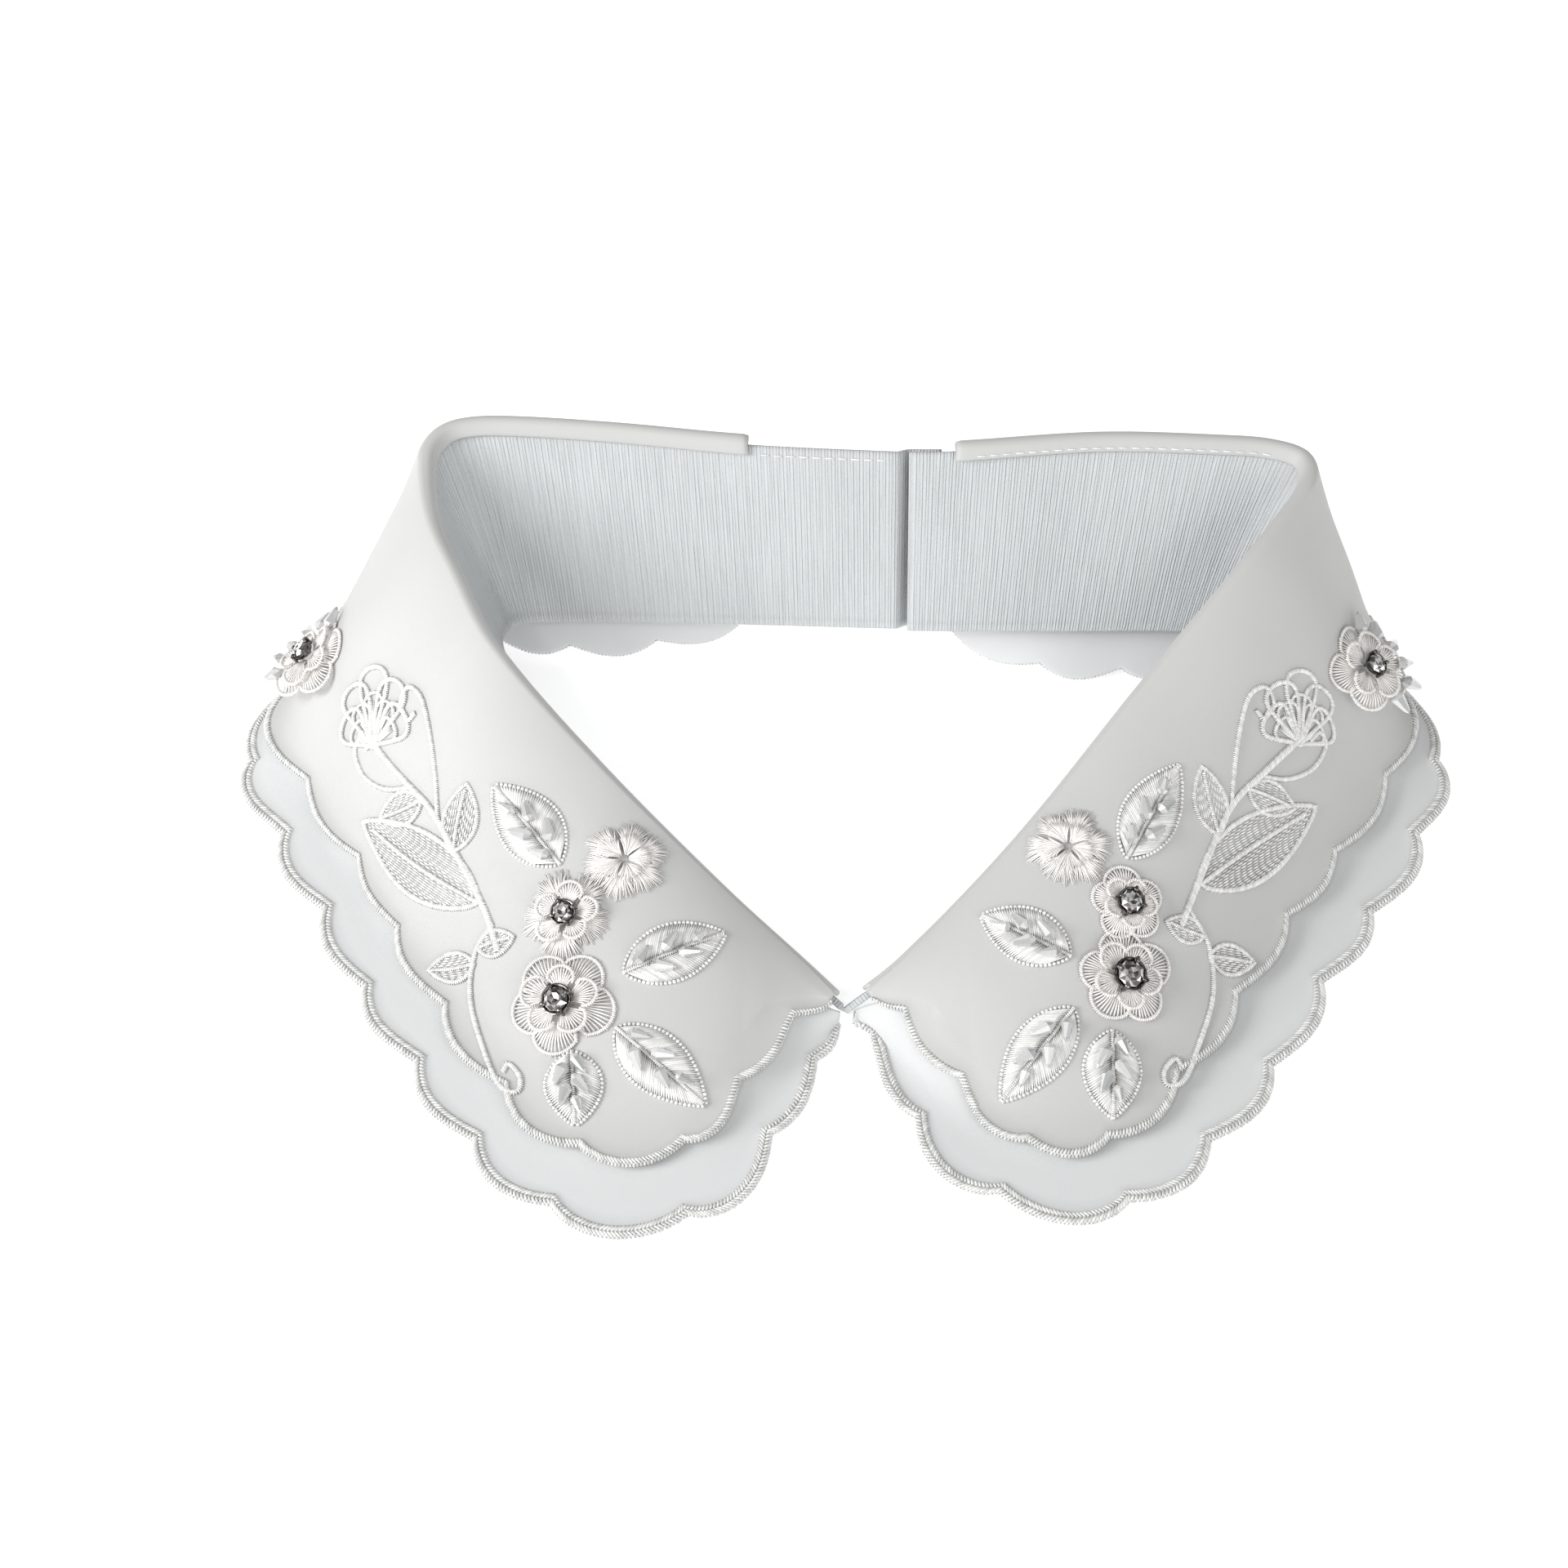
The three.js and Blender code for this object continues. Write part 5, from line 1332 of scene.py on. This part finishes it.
def model_setting():
    """Cup with a raised rim and four claws that lean over the stone."""
    outer = (GEM_WIDTH / 2 + 0.1 + SETTING_WALL) * MM
    bpy.ops.mesh.primitive_cylinder_add(
        vertices=28, radius=outer, depth=SETTING_HEIGHT * MM,
        location=(0, 0, SETTING_HEIGHT / 2 * MM),
    )
    cup = bpy.context.object
    pick_faces(cup, lambda polygon: polygon.normal.z > 0.9)
    bpy.ops.mesh.inset(thickness=SETTING_WALL * MM)
    bpy.ops.mesh.extrude_region_move(TRANSFORM_OT_translate={"value": (0, 0, -CUP_DEPTH * MM)})
    pick_faces(cup, lambda polygon: polygon.normal.z < -0.9)
    bpy.ops.transform.resize(value=(0.75, 0.75, 1), center_override=(0, 0, 0))
    bpy.ops.object.mode_set(mode="OBJECT")
    bevel = cup.modifiers.new("rim", "BEVEL")
    bevel.width = RIM_BEVEL * MM
    bevel.segments = 2
    bpy.ops.object.modifier_apply(modifier=bevel.name)
    parts = [cup]
    for i in range(4):
        turn = math.pi / 4 + i * math.pi / 2
        cos, sin = math.cos(turn), math.sin(turn)
        radius, reach = outer - 0.2 * MM, outer - CLAW_TIP * MM
        bpy.ops.mesh.primitive_cylinder_add(
            vertices=10, radius=CLAW_RADIUS * MM, depth=CLAW_HEIGHT * MM,
            location=(radius * cos, radius * sin, 1.25 * MM),
        )
        parts.append(bpy.context.object)
        bpy.ops.mesh.primitive_uv_sphere_add(
            segments=12, ring_count=7, radius=CLAW_TIP * MM,
            location=(reach * cos, reach * sin, CLAW_HEIGHT * MM),
        )
        bpy.context.object.scale = (1, 1, 0.6)
        parts.append(bpy.context.object)
    bpy.ops.object.select_all(action="DESELECT")
    for part in parts:
        part.select_set(True)
    bpy.context.view_layer.objects.active = cup
    bpy.ops.object.join()
    bpy.ops.object.transform_apply(location=True, rotation=True, scale=True)
    bpy.ops.object.shade_smooth_by_angle(angle=math.radians(40))
    cup.data.materials.append(SILVER)
    return cup


def model_stone():
    """Round cut stone: each side of its crown and its table are split into facets."""
    radius = GEM_WIDTH / 2 * MM
    bpy.ops.mesh.primitive_cone_add(
        vertices=8, radius1=radius, radius2=radius * 0.6, depth=CROWN_HEIGHT * MM,
        location=(0, 0, 2.2 * MM),
    )
    gem = bpy.context.object
    pick_faces(gem, lambda polygon: abs(polygon.normal.z) < 0.9)
    bpy.ops.mesh.poke(offset=0.16 * MM)
    pick_faces(gem, lambda polygon: polygon.normal.z > 0.98)
    bpy.ops.mesh.inset(thickness=0.5 * MM)
    bpy.ops.mesh.poke(offset=-0.14 * MM)
    pick_faces(gem, lambda polygon: polygon.normal.z < -0.9)
    for depth in (GIRDLE, GEM_POINT):
        bpy.ops.mesh.extrude_region_move(TRANSFORM_OT_translate={"value": (0, 0, -depth * MM)})
    bpy.ops.transform.resize(value=(0.3, 0.3, 1), center_override=(0, 0, 0))
    bpy.ops.object.mode_set(mode="OBJECT")
    bpy.ops.object.transform_apply(location=True, rotation=True, scale=True)
    gem.data.materials.append(STONE)
    return gem


def copy_on(model, name, spot, scale, seed=None):
    """A copy of a modelled form with its own mesh, standing on a seat."""
    foot, normal = lay(spot, [0.0], [0.0], [FLOWER_FOOT])
    forward = unit(spot["forward"] + spot["tilt"] * normal[0])
    rows = np.stack([forward, spot["across"], np.cross(forward, spot["across"])], axis=1)
    mesh = model.data.copy()
    mesh.name = name
    points = np.empty(len(mesh.vertices) * 3)
    mesh.vertices.foreach_get("co", points)
    points = points.reshape(-1, 3) * scale @ rows.T + row_frame(foot[0])
    mesh.vertices.foreach_set("co", points.ravel())
    if np.linalg.det(rows) < 0:
        mesh.flip_normals()
    if seed is not None:
        # A stone gets a random painted reflection tone on each facet
        centres = np.array([polygon.center[:] for polygon in model.data.polygons])
        tones = np.empty(len(centres), np.float32)
        tones[steady_order(centres / MM)] = np.random.default_rng(seed).random(len(centres))
        tone = mesh.attributes.new("tone", "FLOAT", "FACE")
        tone.data.foreach_set("value", tones)
    mesh.update()
    return link_piece(name, mesh)


# Curled lines and small leaves of the sprig, as stations and falls
TENDRILS = {
    "left": (
        ((7.4, 0.44), (7.75, 0.36), (8.15, 0.29), (8.5, 0.25), (8.76, 0.27), (8.72, 0.32),
         (8.5, 0.325), (8.47, 0.295)),
        ((6.1, 0.52), (6.1, 0.62), (5.85, 0.72), (5.4, 0.79), (5.02, 0.83), (4.8, 0.805),
         (4.84, 0.765), (5.04, 0.76), (5.06, 0.79)),
        ((8.0, 0.45), (8.3, 0.52), (8.65, 0.56), (8.95, 0.55), (8.98, 0.51), (8.8, 0.5)),
    ),
    "right": (
        ((7.3, 0.4), (7.65, 0.33), (8.0, 0.27), (8.35, 0.23), (8.6, 0.25), (8.56, 0.3),
         (8.35, 0.305), (8.32, 0.275)),
        ((6.1, 0.48), (6.1, 0.6), (5.85, 0.7), (5.4, 0.77), (5.05, 0.815), (4.85, 0.79),
         (4.88, 0.75), (5.07, 0.745), (5.1, 0.775)),
        ((7.9, 0.41), (8.2, 0.48), (8.55, 0.52), (8.85, 0.51), (8.88, 0.47), (8.7, 0.46)),
    ),
}
SMALL_LEAVES = {
    "left": (
        ((7.75, 0.445), (8.15, 0.59), 7), ((7.0, 0.46), (7.3, 0.3), 7.5),
        ((6.05, 0.64), (6.5, 0.77), 6.5), ((6.1, 0.6), (5.75, 0.5), 5.5),
    ),
    "right": (
        ((7.65, 0.405), (8.05, 0.55), 7), ((6.95, 0.42), (7.25, 0.26), 7.5),
        ((6.05, 0.62), (6.5, 0.75), 6.5), ((6.1, 0.57), (5.75, 0.46), 5.5),
    ),
}


def make_border(wing, layer, notches, level, number, stitches):
    """The stitched border of a layer's scalloped edge."""
    pitch, bands, width, wrap = stitches
    border = Threads(number)
    border_stitches(border, wing, notches, level, pitch, bands, width)
    edge_wrap(border, wing, notches, level, pitch, *wrap)
    return border.make(f"{wing['name']}_{layer}_border", BORDER_THREAD)


setting_model = model_setting()
stone_model = model_stone()
band = make_band()
band_seam = make_band_stitches()
patch = make_patch()
for wing in WINGS:
    side = wing["name"]
    under, under_notches = make_under_layer(wing)
    upper = make_upper_layer(wing)
    under_border = make_border(wing, "under", under_notches, under_level, 11, UNDER_STITCHES)
    upper_border = make_border(wing, "upper", wing["upper"], upper_level, 12, UPPER_STITCHES)
    for number, (name, leaf) in enumerate(wing["leaves"].items()):
        make_leaf(wing, name, leaf, 20 + number)
    for number, (name, flower) in enumerate(wing["flowers"].items()):
        spot = make_flower(wing, name, flower, 40 + number)
        if flower[3]:
            scale = STONE_SHARE * flower[3] / GEM_WIDTH
            setting = copy_on(setting_model, f"{side}_{name}_claws", spot, scale)
            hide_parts(f"{side}_{name}_setting")
            gem = copy_on(stone_model, f"{side}_{name}_gem", spot, scale, number + 5)
            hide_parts(f"{side}_{name}_stone")
    make_sprig(wing)
for model in (setting_model, stone_model):
    bpy.data.objects.remove(model)

# Room, light and camera

bpy.ops.mesh.primitive_plane_add(size=40, location=(0, 0, -0.0003))
floor = bpy.context.object
floor.name = "floor"
floor_finish, _shader = new_finish("pale floor", {
    "Base Color": (0.93, 0.93, 0.93, 1), "Emission Color": WHITE, "Emission Strength": 0.5,
    "Roughness": 0.9, "Specular IOR Level": 0.1,
})
floor.data.materials.append(floor_finish)

world = bpy.data.worlds.new("studio")
bpy.context.scene.world = world
world.use_nodes = True
background = world.node_tree.nodes["Background"]
background.inputs["Color"].default_value = WHITE
background.inputs["Strength"].default_value = 0.44


def soft_box(name, place, size, power):
    """A square lamp that shines at the middle of the object."""
    data = bpy.data.lights.new(name, "AREA")
    data.shape = "SQUARE"
    data.size = size
    data.energy = power
    box = bpy.data.objects.new(name, data)
    bpy.context.scene.collection.objects.link(box)
    box.location = place
    box.rotation_euler = (-Vector(place)).to_track_quat("-Z", "Y").to_euler()


soft_box("key light", (-0.7, -0.25, 0.47), 0.45, 6.3)
soft_box("fill light", (0.5, -0.85, 0.5), 0.7, 4.6)
soft_box("glint light", (-0.25, -0.5, 0.8), 0.06, 0.8)

CAMERA_TARGET = np.array([-12.4, 47.1, 17.0])
CAMERA_DISTANCE = 628.0
CAMERA_ELEVATION = math.radians(52)
camera_data = bpy.data.cameras.new("camera")
camera_data.lens = 70
camera_data.sensor_width = 36
camera = bpy.data.objects.new("camera", camera_data)
bpy.context.scene.collection.objects.link(camera)
back = np.array([0, -math.cos(CAMERA_ELEVATION), math.sin(CAMERA_ELEVATION)])
camera.location = row_frame(CAMERA_TARGET + back * CAMERA_DISTANCE)
camera.rotation_euler = Vector(-back).to_track_quat("-Z", "Y").to_euler()
bpy.context.scene.camera = camera
bpy.context.scene.view_settings.view_transform = "Standard"
